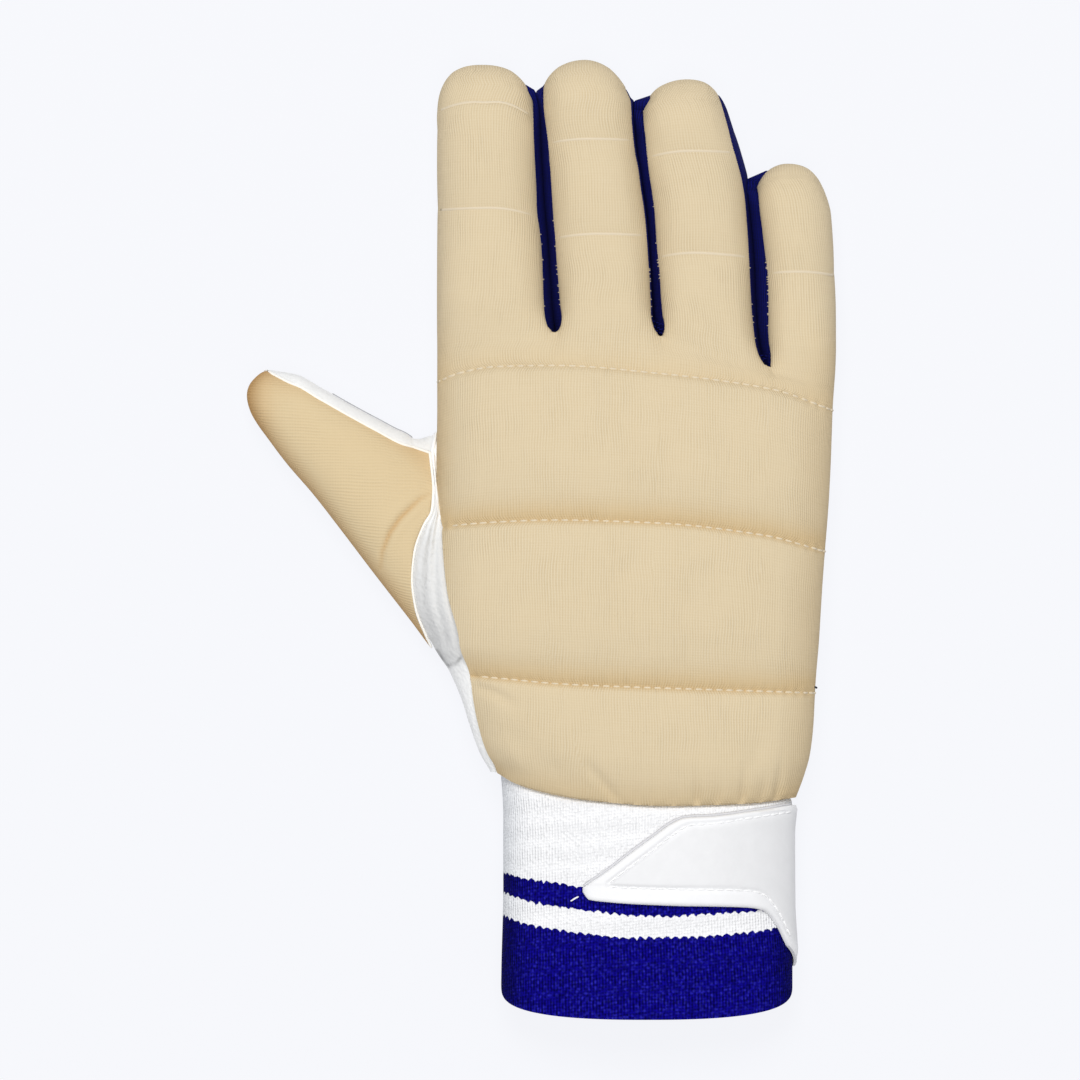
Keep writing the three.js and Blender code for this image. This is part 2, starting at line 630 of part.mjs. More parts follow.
// A point on the thumb: turn 0 is the far edge and 180 the near edge, over the top. Past the last station is its tip.
function thumbSkin(turn, station) {
  const straight = Math.min(station, THUMB_STATIONS);
  const tip = Math.max(station - THUMB_STATIONS, 0);
  const far = point(thumbStations.farX(straight), thumbStations.farY(straight), 0);
  const near = point(thumbStations.nearX(straight), thumbStations.nearY(straight), 0);
  const middle = thumbStations.middle(straight);
  const { across, up } = around(turn, THUMB_POWER);
  const centre = blend(far, near, 0.5);
  const half = far.clone().sub(centre);
  const fall = Math.sqrt(1 - tip * tip);
  const at = centre.clone().addScaledVector(half, across * Math.sqrt(1 - tip * tip / 2));
  const forward = tip * Math.sqrt(1 - across * across / 2);
  at.x += forward * mix(THUMB_TIP.near.x, THUMB_TIP.far.x, (across + 1) / 2);
  at.y += forward * mix(THUMB_TIP.near.y, THUMB_TIP.far.y, (across + 1) / 2);
  at.z = height(turn, up * fall, thumbStations.crown(straight), middle);
  const reach = Math.max(0, 1 - middle / half.length());
  const core = centre.clone().addScaledVector(half, THREE.MathUtils.clamp(across, -reach, reach));
  core.z = coreHeight(turn, middle);
  return { at, core };
}

// The turn at which the thumb's white edging ends and its beige face begins.
function edgingTurn(station) {
  const straight = Math.min(station, THUMB_STATIONS);
  const tip = Math.max(station - THUMB_STATIONS, 0);
  const half = Math.hypot(
    thumbStations.farX(straight) - thumbStations.nearX(straight),
    thumbStations.farY(straight) - thumbStations.nearY(straight),
  ) / 2;
  return turnAt(1 - thumbStations.edging(straight) / half, THUMB_POWER) * Math.max(0, 1 - tip * 2);
}

const THUMB_ALONG = [0.7, 1.4, 2.2, 3, 3.8, 4.6, 5.4, 6, 6.35, 6.65, 6.88, 7];
const rootX = curve(THUMB_ROOT, 'at', 'x');
const rootY = curve(THUMB_ROOT, 'at', 'y');
const rootZ = curve(THUMB_ROOT, 'at', 'z');

function rootPoint(share) {
  const at = share * (THUMB_ROOT.length - 1);
  return point(rootX(at), rootY(at), rootZ(at));
}

function thumbFront() {
  const root = [];
  for (let i = 0; i <= THUMB_COLUMNS; i += 1) {
    const at = rootPoint(i / THUMB_COLUMNS);
    at.x -= GAP;
    root.push({ outer: at, inner: at.clone().add(point(0.2, 0, -THUMB_WALL)) });
  }
  const rows = THUMB_ALONG.map((station) => {
    const from = edgingTurn(station);
    const list = [];
    for (let i = 0; i <= THUMB_COLUMNS; i += 1) {
      const skin = thumbSkin(mix(from, 180, i / THUMB_COLUMNS), station);
      list.push(cloth(skin, THUMB_WALL));
    }
    return list;
  });
  return closedWall('thumb_front', [[root, ...rows]], COLOURS.beige, 0.85);
}

// The under side of the hand where the palm's thumb-side edge lies.
function palmEdgeAt(y) {
  return handSkin(180 + palmEdgeDip(y), () => y);
}

const UNDER_COLUMNS = 14;

// The white far side of the thumb: under it, up round its far edge and a little over the top.
function thumbBack() {
  const root = [];
  for (let i = 0; i <= UNDER_COLUMNS; i += 1) {
    const share = i / UNDER_COLUMNS;
    let at;
    let inward;
    if (share < 0.2) {
      const climb = 1 - share / 0.2;
      at = point(-29.2 - GAP - climb * 0.6, mix(30.5, 26.1, climb), mix(9.6, 13.5, climb));
      inward = point(-0.3, -1, -0.2).normalize();
    } else {
      const y = mix(30, -30.2, ((share - 0.2) / 0.8) ** 0.9);
      const skin = palmEdgeAt(y);
      at = skin.at.clone();
      at.x -= GAP * 1.6;
      at.z = Math.max(0, at.z - (y < -26 ? 0.6 : 0));
      inward = point(0, y > 24 ? -0.8 : y < -22 ? 0.8 : 0, 1).normalize();
    }
    root.push({ outer: at, inner: at.clone().addScaledVector(inward, PALM_WALL) });
  }
  const rows = THUMB_ALONG.map((station) => {
    const from = edgingTurn(station);
    const list = [];
    for (let i = 0; i <= UNDER_COLUMNS; i += 1) {
      const skin = thumbSkin(mix(from, SEAM_STEP - 180, i / UNDER_COLUMNS), station);
      const piece = cloth(skin, PALM_WALL);
      if (i === 0) {
        piece.outer.add(point(0, 0, -GAP));
        piece.inner.add(point(0, 0, -GAP));
      }
      list.push(piece);
    }
    return list;
  });
  return closedWall('thumb_back', [[root, ...rows]], COLOURS.white, 0.75);
}

// The gusset: from the padded back's thumb-side edge out to the thumb's face, and on down the side to the wrist.
const GUSSET_Y = [25, 20, 14, 8, 2, -4, -10, -16, -22, -27, -31, -35, -40, -46, -52, -58, -63];
const GUSSET_COLUMNS = 4;
const GUSSET_FULLNESS = 1.2;

function thumbGusset() {
  const rootRows = THUMB_ROOT.map((row) => ({ key: -row.y, x: row.x, z: row.z }));
  const borderX = curve(rootRows, 'key', 'x');
  const borderZ = curve(rootRows, 'key', 'z');
  const rows = GUSSET_Y.map((y) => {
    const first = fingers[0];
    const top = handSkin(backTurn.hand(first, 0, () => y), () => y);
    const upper = top.at.clone();
    upper.z -= GAP * 1.5;
    const onThumb = y > -29;
    const skin = handSkin(180 + TUCK, () => y);
    const lower = onThumb ? point(borderX(-y) + GAP, y, borderZ(-y)) : skin.at.clone();
    if (!onThumb) lower.z += GAP * 1.5;
    const list = [];
    for (let i = 0; i <= GUSSET_COLUMNS; i += 1) {
      const share = i / GUSSET_COLUMNS;
      const at = blend(upper, lower, share);
      at.z += GUSSET_FULLNESS * Math.sin(Math.PI * share);
      if (!onThumb) at.x -= GUSSET_FULLNESS * Math.sin(Math.PI * share);
      const inward = top.core.clone().sub(at).normalize();
      list.push({ outer: at, inner: at.clone().addScaledVector(inward, GUSSET_WALL) });
    }
    return list;
  });
  return closedWall('thumb_gusset', [rows], COLOURS.white, 0.75);
}

const cuffLeft = curve(CUFF, 'along', 'left');
const cuffRight = curve(CUFF, 'along', 'right');
const cuffCrown = curve(CUFF, 'along', 'crown');

// Where the wrist seam lies round the cuff, in y, over the top and under the palm.
function wristSeam(turn) {
  const { across } = around(turn, HAND_POWER);
  const share = (across + 1) / 2;
  return Math.sin(THREE.MathUtils.degToRad(turn)) >= 0 ? lines.wrist(share) : palmWrist(share);
}

function hemLine(turn) {
  const up = Math.sin(THREE.MathUtils.degToRad(turn));
  return HEM.y - (up >= 0 ? HEM.dip : HEM.underDip) * Math.abs(up) ** HEM.roundness;
}

function cuffSkin(turn, along) {
  const { across, up } = around(turn, HAND_POWER);
  const centre = (cuffLeft(along) + cuffRight(along)) / 2;
  const half = (cuffRight(along) - cuffLeft(along)) / 2;
  const y = mix(wristSeam(turn) - GAP * 1.2, hemLine(turn), along);
  const x = centre + half * across;
  const crown = cuffCrown(along);
  const z = up >= 0 ? CUFF_MIDDLE + (crown - CUFF_MIDDLE) * up : Math.max(0, CUFF_MIDDLE + (CUFF_MIDDLE + FLATTENING) * up);
  const reach = half - CUFF_MIDDLE;
  const core = point(THREE.MathUtils.clamp(x, centre - reach, centre + reach), y, CUFF_MIDDLE);
  return { at: point(x, y, z), core };
}

const CUFF_ALONG = [0, 0.12, 0.3, 0.5, 0.7, 0.88, 0.97, 1];

function cuff() {
  const rows = CUFF_ALONG.map((along) => {
    const list = [];
    for (let i = 0; i <= CUFF_COLUMNS; i += 1) {
      list.push(cloth(cuffSkin(180 - (360 * (i % CUFF_COLUMNS)) / CUFF_COLUMNS, along), CUFF_WALL));
    }
    return list;
  });
  return closedWall('cuff', [rows], COLOURS.white, 0.9);
}

const STRAP_ROWS = 6;

// The strap lies on the cuff: free and pointed on top, sewn down past the little-finger side.
function closureStrap() {
  const stations = STRAP.map((row) => {
    const centre = (cuffLeft(0.4) + cuffRight(0.4)) / 2;
    const half = (cuffRight(0.4) - cuffLeft(0.4)) / 2;
    return { turn: turnAt((row.x - centre) / half, HAND_POWER), upper: row.upper, lower: row.lower };
  });
  const last = stations[stations.length - 1];
  [0.25, 0.5, 0.75, 1].forEach((share) => {
    stations.push({
      turn: mix(last.turn, STRAP_END.turn, share),
      upper: mix(last.upper, STRAP_END.upper, share),
      lower: mix(last.lower, STRAP_END.lower, Math.min(1, share * 1.8)),
    });
  });
  const rows = stations.map((station) => {
    const list = [];
    for (let i = 0; i <= STRAP_ROWS; i += 1) {
      const y = mix(station.upper, station.lower, i / STRAP_ROWS);
      const from = wristSeam(station.turn) - GAP * 1.2;
      const along = (y - from) / (hemLine(station.turn) - from);
      const skin = cuffSkin(station.turn, along);
      const away = skin.at.clone().sub(skin.core).normalize();
      list.push({
        outer: skin.at.clone().addScaledVector(away, GAP + STRAP_WALL),
        inner: skin.at.clone().addScaledVector(away, GAP),
      });
    }
    return list;
  });
  return closedWall('closure_strap', [rows], COLOURS.white, 0.5);
}

const hand = new THREE.Group();
hand.add(backPanel(), palmPanel());
hand.add(fourchette(fingers[0], fingers[1]), fourchette(fingers[1], fingers[2]), fourchette(fingers[2], fingers[3]));

const thumb = new THREE.Group();
thumb.add(thumbFront(), thumbBack(), thumbGusset());

const wrist = new THREE.Group();
wrist.add(cuff(), closureStrap());

const glove = new THREE.Group();
glove.add(hand, thumb, wrist);

// The origin is the middle of the glove's box, at the surface that it rests on.
const box = new THREE.Box3().setFromObject(glove);
const centre = box.getCenter(new THREE.Vector3());
glove.position.set(-centre.x, -centre.y, -box.min.z);

export default glove;
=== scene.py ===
# A padded wicketkeeping inner glove for the right hand, resting on its palm, seen from straight above.
# Millimetres while building, in the plan of the CAD part: X towards the little finger, Y towards the
# fingertips, Z up. Meshes are turned into metres and set on the frame's origin as they are made.
import functools
import math

import bpy
import numpy as np
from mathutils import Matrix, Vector, noise


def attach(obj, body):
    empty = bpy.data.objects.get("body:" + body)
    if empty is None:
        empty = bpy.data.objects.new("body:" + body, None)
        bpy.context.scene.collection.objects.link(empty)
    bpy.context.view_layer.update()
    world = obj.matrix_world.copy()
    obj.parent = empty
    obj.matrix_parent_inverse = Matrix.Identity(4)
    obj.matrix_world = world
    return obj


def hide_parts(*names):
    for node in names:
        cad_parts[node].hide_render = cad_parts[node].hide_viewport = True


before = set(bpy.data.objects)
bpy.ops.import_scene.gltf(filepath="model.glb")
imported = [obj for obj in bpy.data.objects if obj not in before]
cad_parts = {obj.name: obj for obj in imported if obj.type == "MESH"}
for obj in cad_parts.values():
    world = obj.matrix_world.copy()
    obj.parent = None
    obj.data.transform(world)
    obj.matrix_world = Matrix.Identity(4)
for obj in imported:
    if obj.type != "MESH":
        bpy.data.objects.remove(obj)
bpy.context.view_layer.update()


# Padded back
# One piece of fine beige rib knit over foam, from the wrist to the four fingertips. It is sewn down to
# the foam along cream lines across the hand and the fingers, so it puffs up between them, and it is
# gathered where the cuff is sewn on.

# The hand at lines across it: its left and right edge, its crown, the height of its widest line, and how
# far the back's left edge is set in to leave room for the gusset.
HAND = np.array(
    [
        (-76, -10.5, 70.2, 28.5, 13, 0.5),
        (-66, -12.8, 73.8, 29.5, 13, 0.8),
        (-60, -16.8, 75.4, 30, 13, 2.7),
        (-52, -19.9, 76.4, 30.6, 13, 3.3),
        (-44, -22.6, 76.9, 31.2, 13, 4.2),
        (-37, -25.7, 77.3, 31.6, 13, 5.9),
        (-29, -30, 77.9, 31.8, 13, 7.9),
        (-15, -29.8, 78.8, 32, 13, 4.6),
        (3, -29.3, 80.2, 31.6, 13, 2),
        (20, -28.9, 81.2, 30.6, 12.8, 0.4),
        (36, -28.7, 81.9, 29.4, 12.5, 0),
        (48, -28.8, 82.6, 28, 12, 0),
        (66, -28.8, 82.5, 26, 11.5, 0),
    ],
    dtype=[(name, float) for name in ("y", "left", "right", "crown", "middle", "inset")],
)
# The sewn lines, from the wrist to where the fingers part: their y at seven shares of the way across.
ACROSS = {"side": 0, "near": 0.06, "pad": 0.15, "split1": 0.297, "split2": 0.561, "split3": 0.837, "far": 1}
LINES = {
    "wrist": (-64.4, -68.1, -70.6, -72.8, -74.4, -73.8, -72.1),
    "quilt3": (-37.3, -38, -38.9, -40.3, -41.4, -42.3, -42.9),
    "quilt2": (3.1, 4.1, 4.9, 5.5, 4.7, 1.3, -3.3),
    "quilt1": (44.1, 46.7, 48.4, 48.7, 46.4, 42.2, 36.2),
    "crotch": (58, 58.3, 58.6, 58.2, 57.2, 48.4, 46),
}
# Along a finger 0 is at the hand, 1 where its round tip starts and 2 at its end. By that measure stops are
# its sewn lines, and closes is where back and palm meet beside the tip. Pairs are for the left and right
# side: how square the tip is, how far a sewn line drops there, and how much of a strip shows past the tip.
# The outer side has no strip. Edges are (y, left, right).
FINGERS = [
    {
        "name": "index", "outer": "left", "tip_start": 115, "tip_end": 132.3, "lean": -2.4,
        "crown": 22.5, "base_crown": 25, "middle": 10.8, "stops": (0, 0.61, 1.42, 2),
        "square": (2.3, 2.55), "drop": (0.6, 3.2), "closes": (1.55, 1.87), "wedge": (0, 0.5),
        "edges": [
            (50, -28.7, 4.2), (58.4, -28.7, 3.4), (60, -28.7, 2.3), (62.5, -28.6, 1.7), (72, -28.6, 0.9),
            (84, -28.6, 0.2), (99, -28.6, -1.2), (110, -28.6, -1.6), (116, -28.5, -1.4),
        ],
    },
    {
        "name": "middle", "outer": "none", "tip_start": 121, "tip_end": 133.9, "lean": -0.7,
        "crown": 22.5, "base_crown": 26, "middle": 11, "stops": (0, 0.44, 0.86, 2),
        "square": (2.05, 1.8), "drop": (1.6, 0.5), "closes": (1.67, 1.6), "wedge": (0.5, 0.5),
        "edges": [
            (50, 4.2, 33.6), (58.4, 5.4, 32.6), (60, 6, 31.6), (67, 5.7, 30.9), (76, 4.9, 30.4),
            (88, 4, 29.8), (100, 2.95, 28.2), (110, 2.2, 26.4), (117, 1.8, 25.9), (122, 1.4, 25),
        ],
    },
    {
        "name": "ring", "outer": "none", "tip_start": 115, "tip_end": 128.4, "lean": 0.3,
        "crown": 22, "base_crown": 25.5, "middle": 11, "stops": (0, 0.44, 0.9, 2),
        "square": (2.1, 2.1), "drop": (2.4, 0.6), "closes": (1.93, 1.97), "wedge": (1, 0.7),
        "edges": [
            (48, 33.6, 64), (50, 34, 62), (54, 34.3, 60.6), (58, 34.7, 59.9), (64, 34, 59.2),
            (72, 33.5, 58.8), (80, 33, 58.5), (88, 32.3, 57.9), (99, 31.2, 56.5), (110, 29.8, 54.2),
            (116, 29.1, 52.5),
        ],
    },
    {
        "name": "little", "outer": "right", "tip_start": 92, "tip_end": 104.9, "lean": -1.8,
        "crown": 20.5, "base_crown": 24, "middle": 10.2, "stops": (0, 0.62, 2),
        "square": (1.9, 2.4), "drop": (0.8, 1.0), "closes": (1.97, 1.55), "wedge": (1, 0),
        "edges": [
            (44, 64.2, 82.5), (50, 64.7, 82.6), (56, 64, 82.6), (64, 63.7, 82.6), (78, 63.2, 82.2),
            (92, 61.8, 81.2),
        ],
    },
]
# Where the back is sewn to the navy strips, as (y, x) down each side of the three slits.
SLITS = {
    (0, "right"): [
        (58.5, 3.4), (59.4, 2.3), (61.3, 1.6), (65, 1.1), (71, 0.9), (77, 0.7), (83, 0.3), (87.5, -0.2),
        (92, -0.8), (98, -1), (104, -1.3), (110, -1.6), (115.3, -1.8), (120.5, -1.9), (125.4, -2.1),
    ],
    (1, "left"): [
        (58.5, 4.8), (59.3, 5.8), (60.3, 6.2), (62, 6.1), (66.5, 5.6), (72.5, 5.1), (78.5, 4.6),
        (84.5, 4.2), (90.5, 3.7), (96.5, 3.3), (102.5, 2.9), (107.8, 2.5), (112.3, 2.1), (116.8, 1.5),
        (121.3, 1), (125.4, 0.9),
    ],
    (1, "right"): [
        (57.7, 33.1), (58.4, 32.3), (59.8, 31.5), (62, 31.1), (68, 30.9), (74, 30.6), (80, 30.2),
        (86, 29.8), (92, 29.2), (98, 28.3), (104, 27.5), (108.5, 26.6), (113, 26.1), (117.5, 25.7),
        (122, 25.5), (125.4, 24.5),
    ],
    (2, "left"): [
        (57.6, 34.3), (58.4, 34.8), (59.6, 34.9), (62.8, 34.3), (68, 33.8), (74, 33.5), (78.5, 33),
        (83, 32.6), (87.5, 32.3), (92, 32), (97.3, 31.3), (102.5, 30.5), (107.8, 29.9), (112.3, 29.5),
        (116.8, 29), (121.6, 28.8), (123.1, 29.6),
    ],
    (2, "right"): [
        (48.4, 63.2), (50.4, 61.6), (53, 60.7), (56, 60.1), (60.5, 59.6), (65, 59.2), (71, 58.9),
        (77, 58.6), (83, 58.3), (89, 57.9), (95, 57.4), (100.3, 56.6), (105.5, 55.3), (110.8, 53.8),
        (116, 52.5), (120.5, 51.2), (124.3, 49.9), (126.1, 48.7),
    ],
    (3, "left"): [
        (48.6, 64.5), (51.5, 64.5), (55.3, 64), (59, 63.8), (62, 63.9), (68, 63.9), (74, 63.7),
        (78.5, 63.2), (83, 62.6), (87.5, 62.1), (92, 61.5), (96.5, 61.1), (100.3, 60.6), (101.8, 61.5),
        (103.4, 63.4),
    ],
}
# The room left between two pieces where they are sewn together.
GAP = 0.35
# In degrees: how far below the widest line back and palm meet, how far below it the palm begins beside a
# strip, and how far apart the edges of back and palm are.
TUCK = 8
STRIP_TUCK = 26
SEAM_STEP = 2
# The back's wall where it is full and where it is sewn down, and how far it stands up between sewn lines.
BACK_WALL = 3.2
BACK_SEAM = 1.8
HAND_SWELL = 3.4
FINGER_SWELL = 1.5
# How square the cross-sections are: the hand's, and a finger's at the hand and further out.
HAND_POWER = 2.5
FINGER_POWERS = (3, 2.2)
# How far the under side is pressed flat, and how far a finger's side stands past the edge of its back.
FLATTENING = 2.5
STRIP_BULGE = 1.3
STRIP_COLUMNS = 46
# Where the fingers part, a strip has come this share of the way from the hand's shape to the finger's.
PARTING_SHARE = 0.6
# Where the frame's origin lies in the plan.
ORIGIN = np.array((0.192, 0.15, 0))


def curve(at, to):
    """A smooth line through the points (at, to), which overshoots none of them."""
    at, to = np.asarray(at, float), np.asarray(to, float)
    rise = np.diff(to) / np.diff(at)
    before, after = rise[:-1], rise[1:]
    same_way = before * after > 0
    total = np.where(same_way, before + after, 1)
    slope = np.concatenate([rise[:1], np.where(same_way, 2 * before * after / total, 0), rise[-1:]])

    def value(wanted):
        x = np.clip(wanted, at[0], at[-1])
        i = np.clip(np.searchsorted(at, x) - 1, 0, len(at) - 2)
        width = at[i + 1] - at[i]
        t = (x - at[i]) / width
        ease = t * t * (3 - 2 * t)
        bend = width * t * (1 - t) * (slope[i] * (1 - t) - slope[i + 1] * t)
        return to[i] + (to[i + 1] - to[i]) * ease + bend

    return value


def mix(a, b, share):
    return a + (b - a) * share


def around(turn, exponent):
    """Where a turn in degrees lies on a rounded cross-section: across from -1 to 1, up from -1 to 1."""
    angle = np.radians(turn)
    across, up = np.cos(angle), np.sin(angle)
    return np.sign(across) * np.abs(across) ** (2 / exponent), np.sign(up) * np.abs(up) ** (2 / exponent)


def turn_at(across, exponent):
    return np.degrees(np.arccos(np.sign(across) * np.abs(across) ** (exponent / 2)))


def is_under(turn):
    return np.mod(turn, 360) > 180


def height(turn, up, crown, middle):
    """Height of a section: a crown above its widest line, and a flattened floor below it."""
    under = np.maximum(0, middle + (middle + FLATTENING) * up)
    return np.where(is_under(turn), under, middle + GAP + (crown - middle - GAP) * up)


def core_height(turn, middle):
    return np.where(is_under(turn), middle, middle + GAP)


hand_left, hand_right, hand_crown, hand_middle, hand_inset = (
    curve(HAND["y"], HAND[name]) for name in ("left", "right", "crown", "middle", "inset")
)
lines = {name: curve(list(ACROSS.values()), line) for name, line in LINES.items()}
splits = np.array([ACROSS[name] for name in ("side", "split1", "split2", "split3", "far")])


def hand_skin(turn, line):
    """The hand's surface at turns round it, on a line across it, and the core that its wall faces."""
    across, up = around(turn, HAND_POWER)
    y = line((across + 1) / 2)
    half = (hand_right(y) - hand_left(y)) / 2
    centre = (hand_right(y) + hand_left(y)) / 2
    middle = hand_middle(y)
    x = centre + half * across
    at = np.stack([x, y, height(turn, up, hand_crown(y), middle)], -1)
    reach = half - middle
    core = np.stack([np.clip(x, centre - reach, centre + reach), y, core_height(turn, middle)], -1)
    return at, core, np.abs(up)


def finger_skin(number, turn, along):
    """The same on a finger: along is 0 at the hand, 1 where the tip begins and 2 at its end."""
    finger = FINGERS[number]
    edge_y, edge_left, edge_right = np.array(finger["edges"]).T
    straight, tip = min(along, 1), max(along - 1, 0)
    base_left, base_right = lines["crotch"](splits[number : number + 2])
    level = mix((base_left + base_right) / 2, finger["tip_start"], straight)
    slant = (base_right - base_left) / 2 * (1 - straight) ** 3
    y_left, y_right = level - slant, level + slant
    left = curve(edge_y, edge_left)(y_left) - (0 if finger["outer"] == "left" else STRIP_BULGE)
    right = curve(edge_y, edge_right)(y_right) + (0 if finger["outer"] == "right" else STRIP_BULGE)
    across, up = around(turn, mix(*FINGER_POWERS, min(1, straight * 1.6)))
    crown = mix(finger["base_crown"], finger["crown"], straight)
    side, forward = across, tip + 0 * across
    if tip > 0:
        side, forward = across * math.sqrt(1 - tip * tip / 2), tip * np.sqrt(1 - across**2 / 2)
        square = np.where(across < 0, *finger["square"])
        squarer = np.hypot(side, forward) / (np.abs(side) ** square + forward**square) ** (1 / square)
        side, forward = side * squarer, forward * squarer
    fall = math.sqrt(max(0, 1 - tip * tip))
    x = (left + right) / 2 + (right - left) / 2 * side + finger["lean"] * forward
    if tip > 0:
        edges = [curve(edge_y, edge) for edge in (edge_left, edge_right)]
        tapers = [(edge(y_left) - edge(y_left - 3)) / 3 for edge in edges]
        taper = mix(*tapers, (across + 1) / 2)
        x = x + taper * (finger["tip_end"] - finger["tip_start"]) * forward * (1 - forward)
    y = mix(y_left, y_right, (across + 1) / 2) + (finger["tip_end"] - finger["tip_start"]) * forward
    sagging = np.interp(along, [0.1, 0.4, 1.45, 1.85], [0, 1, 1, 0]) * np.clip(up * 2, 0, 1)
    y = y - sagging * across**2 * np.where(across < 0, *finger["drop"])
    at = np.stack([x, y, height(turn, up * fall, crown, finger["middle"])], -1)
    core_z = core_height(turn, finger["middle"])
    core = np.stack([0 * x + (left + right) / 2, np.minimum(y, finger["tip_start"]), core_z], -1)
    return at, core, np.abs(up) * fall


@functools.lru_cache(None)
def slit_turn(number, side, along):
    """How many degrees above its widest line a finger's back is sewn to the strip, 0 where they part."""
    edge_line = curve(*zip(*SLITS[number, side]))
    low, high = 0.0, 50.0
    for _ in range(16):
        turn = (low + high) / 2
        x, y, _ = finger_skin(number, np.array([turn if side == "right" else 180 - turn]), along)[0][0]
        beyond = x - edge_line(y) if side == "right" else edge_line(y) - x
        low, high = (turn, high) if beyond > 0 else (low, turn)
    return turn if turn > 0.01 else 0.0


# Over the tips the seam stays this many degrees above the widest line, until it closes on the palm.
tip_seam = curve((0, 0.3, 0.7, 0.92, 1), (26, 31, 31, 22, 0))


def seam_turn(number, side, along, panel):
    """Degrees from a finger's widest line up to where its back ends, or down to where its palm begins."""
    finger, right = FINGERS[number], side == "right"
    beside = finger["outer"] == side
    closing = min(max((along - 1) / (finger["closes"][right] - 1), 0), 1)
    if panel == "palm":
        return (TUCK if beside else STRIP_TUCK) * (1 - closing) + SEAM_STEP
    if beside:
        return -TUCK * (1 - closing)
    y = finger_skin(number, np.array([0.0 if right else 180.0]), along)[0][0, 1]
    past = min(max((y - SLITS[number, side][-1][0]) / 3 + 1, 0), 1)
    return max(slit_turn(number, side, along), float(tip_seam(closing)) * finger["wedge"][right] * past)


def back_hand_turn(number, share, line):
    y = line(0)
    half = (hand_right(y) - hand_left(y)) / 2
    inset = hand_inset(y)
    side = 180 - turn_at(max(0, 1 - inset / half), HAND_POWER) + TUCK * max(0, 1 - inset)
    knots = [side, *turn_at(splits[1:4] * 2 - 1, HAND_POWER), -TUCK]
    return mix(knots[number], knots[number + 1], share)


def back_finger_turn(number, share, along):
    left, right = (seam_turn(number, side, along, "back") for side in ("left", "right"))
    return mix(180 - left, right, share)


def strip_skin(number, share, row, hand_turn, finger_turn):
    """One finger's strip of the back or palm at a row, over the hand or along the finger."""
    if "line" in row:
        at, core, edge = hand_skin(hand_turn(number, share, row["line"]), row["line"])
        own_at, own_core, _ = finger_skin(number, finger_turn(number, share, 0), 0)
        return mix(at, own_at, row["share"]), mix(core, own_core, row["share"]), edge
    at, core, edge = finger_skin(number, finger_turn(number, share, row["along"]), row["along"])
    if row["share"] < 1:
        def level(_):
            return at[..., 1]
        over = hand_skin(hand_turn(number, share, lambda _: at[0, 1]), level)[0]
        at[:, 2] = mix(over[:, 2], at[:, 2], row["share"])
    return at, core, edge


# How a pad swells from one sewn line to the next: steep above the lower line, gentle from its top on. A
# finger's first pad is full from the start, and its last rounds off over the tip.
PUFF_TOP = 0.38
PUFF = {
    "share": (0, 0.04, 0.1, 0.22, PUFF_TOP, 0.6, 0.8, 0.93, 0.98, 1),
    "height": (0, 0.24, 0.46, 0.8, 1, 0.93, 0.72, 0.48, 0.26, 0),
}
puff = curve(PUFF["share"], PUFF["height"])


def pad_steps(length, spacing):
    """Shares of the way between two sewn lines, closer together near the lines, without the last."""
    count = max(4, round(length / spacing))
    t = np.arange(count) / count
    return t - 0.4 / (2 * math.pi) * np.sin(2 * math.pi * t)


def hand_rows():
    rows = []
    order = ["wrist", "quilt3", "quilt2", "quilt1", "crotch"]
    for below, above in zip(order, order[1:]):
        start, end = lines[below], lines[above]
        knuckles = above == "crotch"
        for step in pad_steps(float(end(0.5) - start(0.5)), 0.8 if knuckles else 1.3):
            share = PARTING_SHARE * step * step * (3 - 2 * step) if knuckles else 0.0
            swell = HAND_SWELL * puff(step)
            if knuckles:
                swell = 1.2 * step**0.6
            rows.append({
                "line": lambda at, a=start, b=end, s=step: mix(a(at), b(at), s),
                "share": share,
                "swell": swell,
                "wall": mix(BACK_SEAM, BACK_WALL, min(1, swell / 2)),
                "sewn": step == 0,
            })
    return rows


def finger_rows(number):
    finger = FINGERS[number]
    straight = finger["tip_start"] - float(lines["crotch"]((splits[number] + splits[number + 1]) / 2))
    tip = finger["tip_end"] - finger["tip_start"]

    def reach(along):
        return straight * min(along, 1) + tip * math.asin(max(along - 1, 0))

    rows = []
    for i, (start, end) in enumerate(zip(finger["stops"], finger["stops"][1:])):
        length = reach(end) - reach(start)
        for step in pad_steps(length, 1.2):
            gone = reach(start) + length * step
            along = gone / straight if gone <= straight else 1 + math.sin((gone - straight) / tip)
            puffed = puff(step)
            if i == 0:
                puffed = min(1, 0.8 + step) * float(puff(max(0.4, step)))
            if i == len(finger["stops"]) - 2:
                over = max(0, (step - PUFF_TOP) / (1 - PUFF_TOP))
                puffed = float(puff(min(step, PUFF_TOP))) * math.sqrt(1 - over**2)
            rows.append({
                "along": along,
                "share": min(1, PARTING_SHARE + (1 - PARTING_SHARE) * min(1, along * 6)),
                "swell": FINGER_SWELL * puffed,
                "wall": mix(BACK_SEAM, BACK_WALL, puffed),
                "sewn": step == 0 and i > 0,
            })
    rows.append({"along": 2, "share": 1, "swell": 0, "wall": BACK_SEAM, "sewn": False})
    return rows


def inwards(at, core):
    way = core - at
    return way / np.maximum(np.linalg.norm(way, axis=-1, keepdims=True), 1e-9)


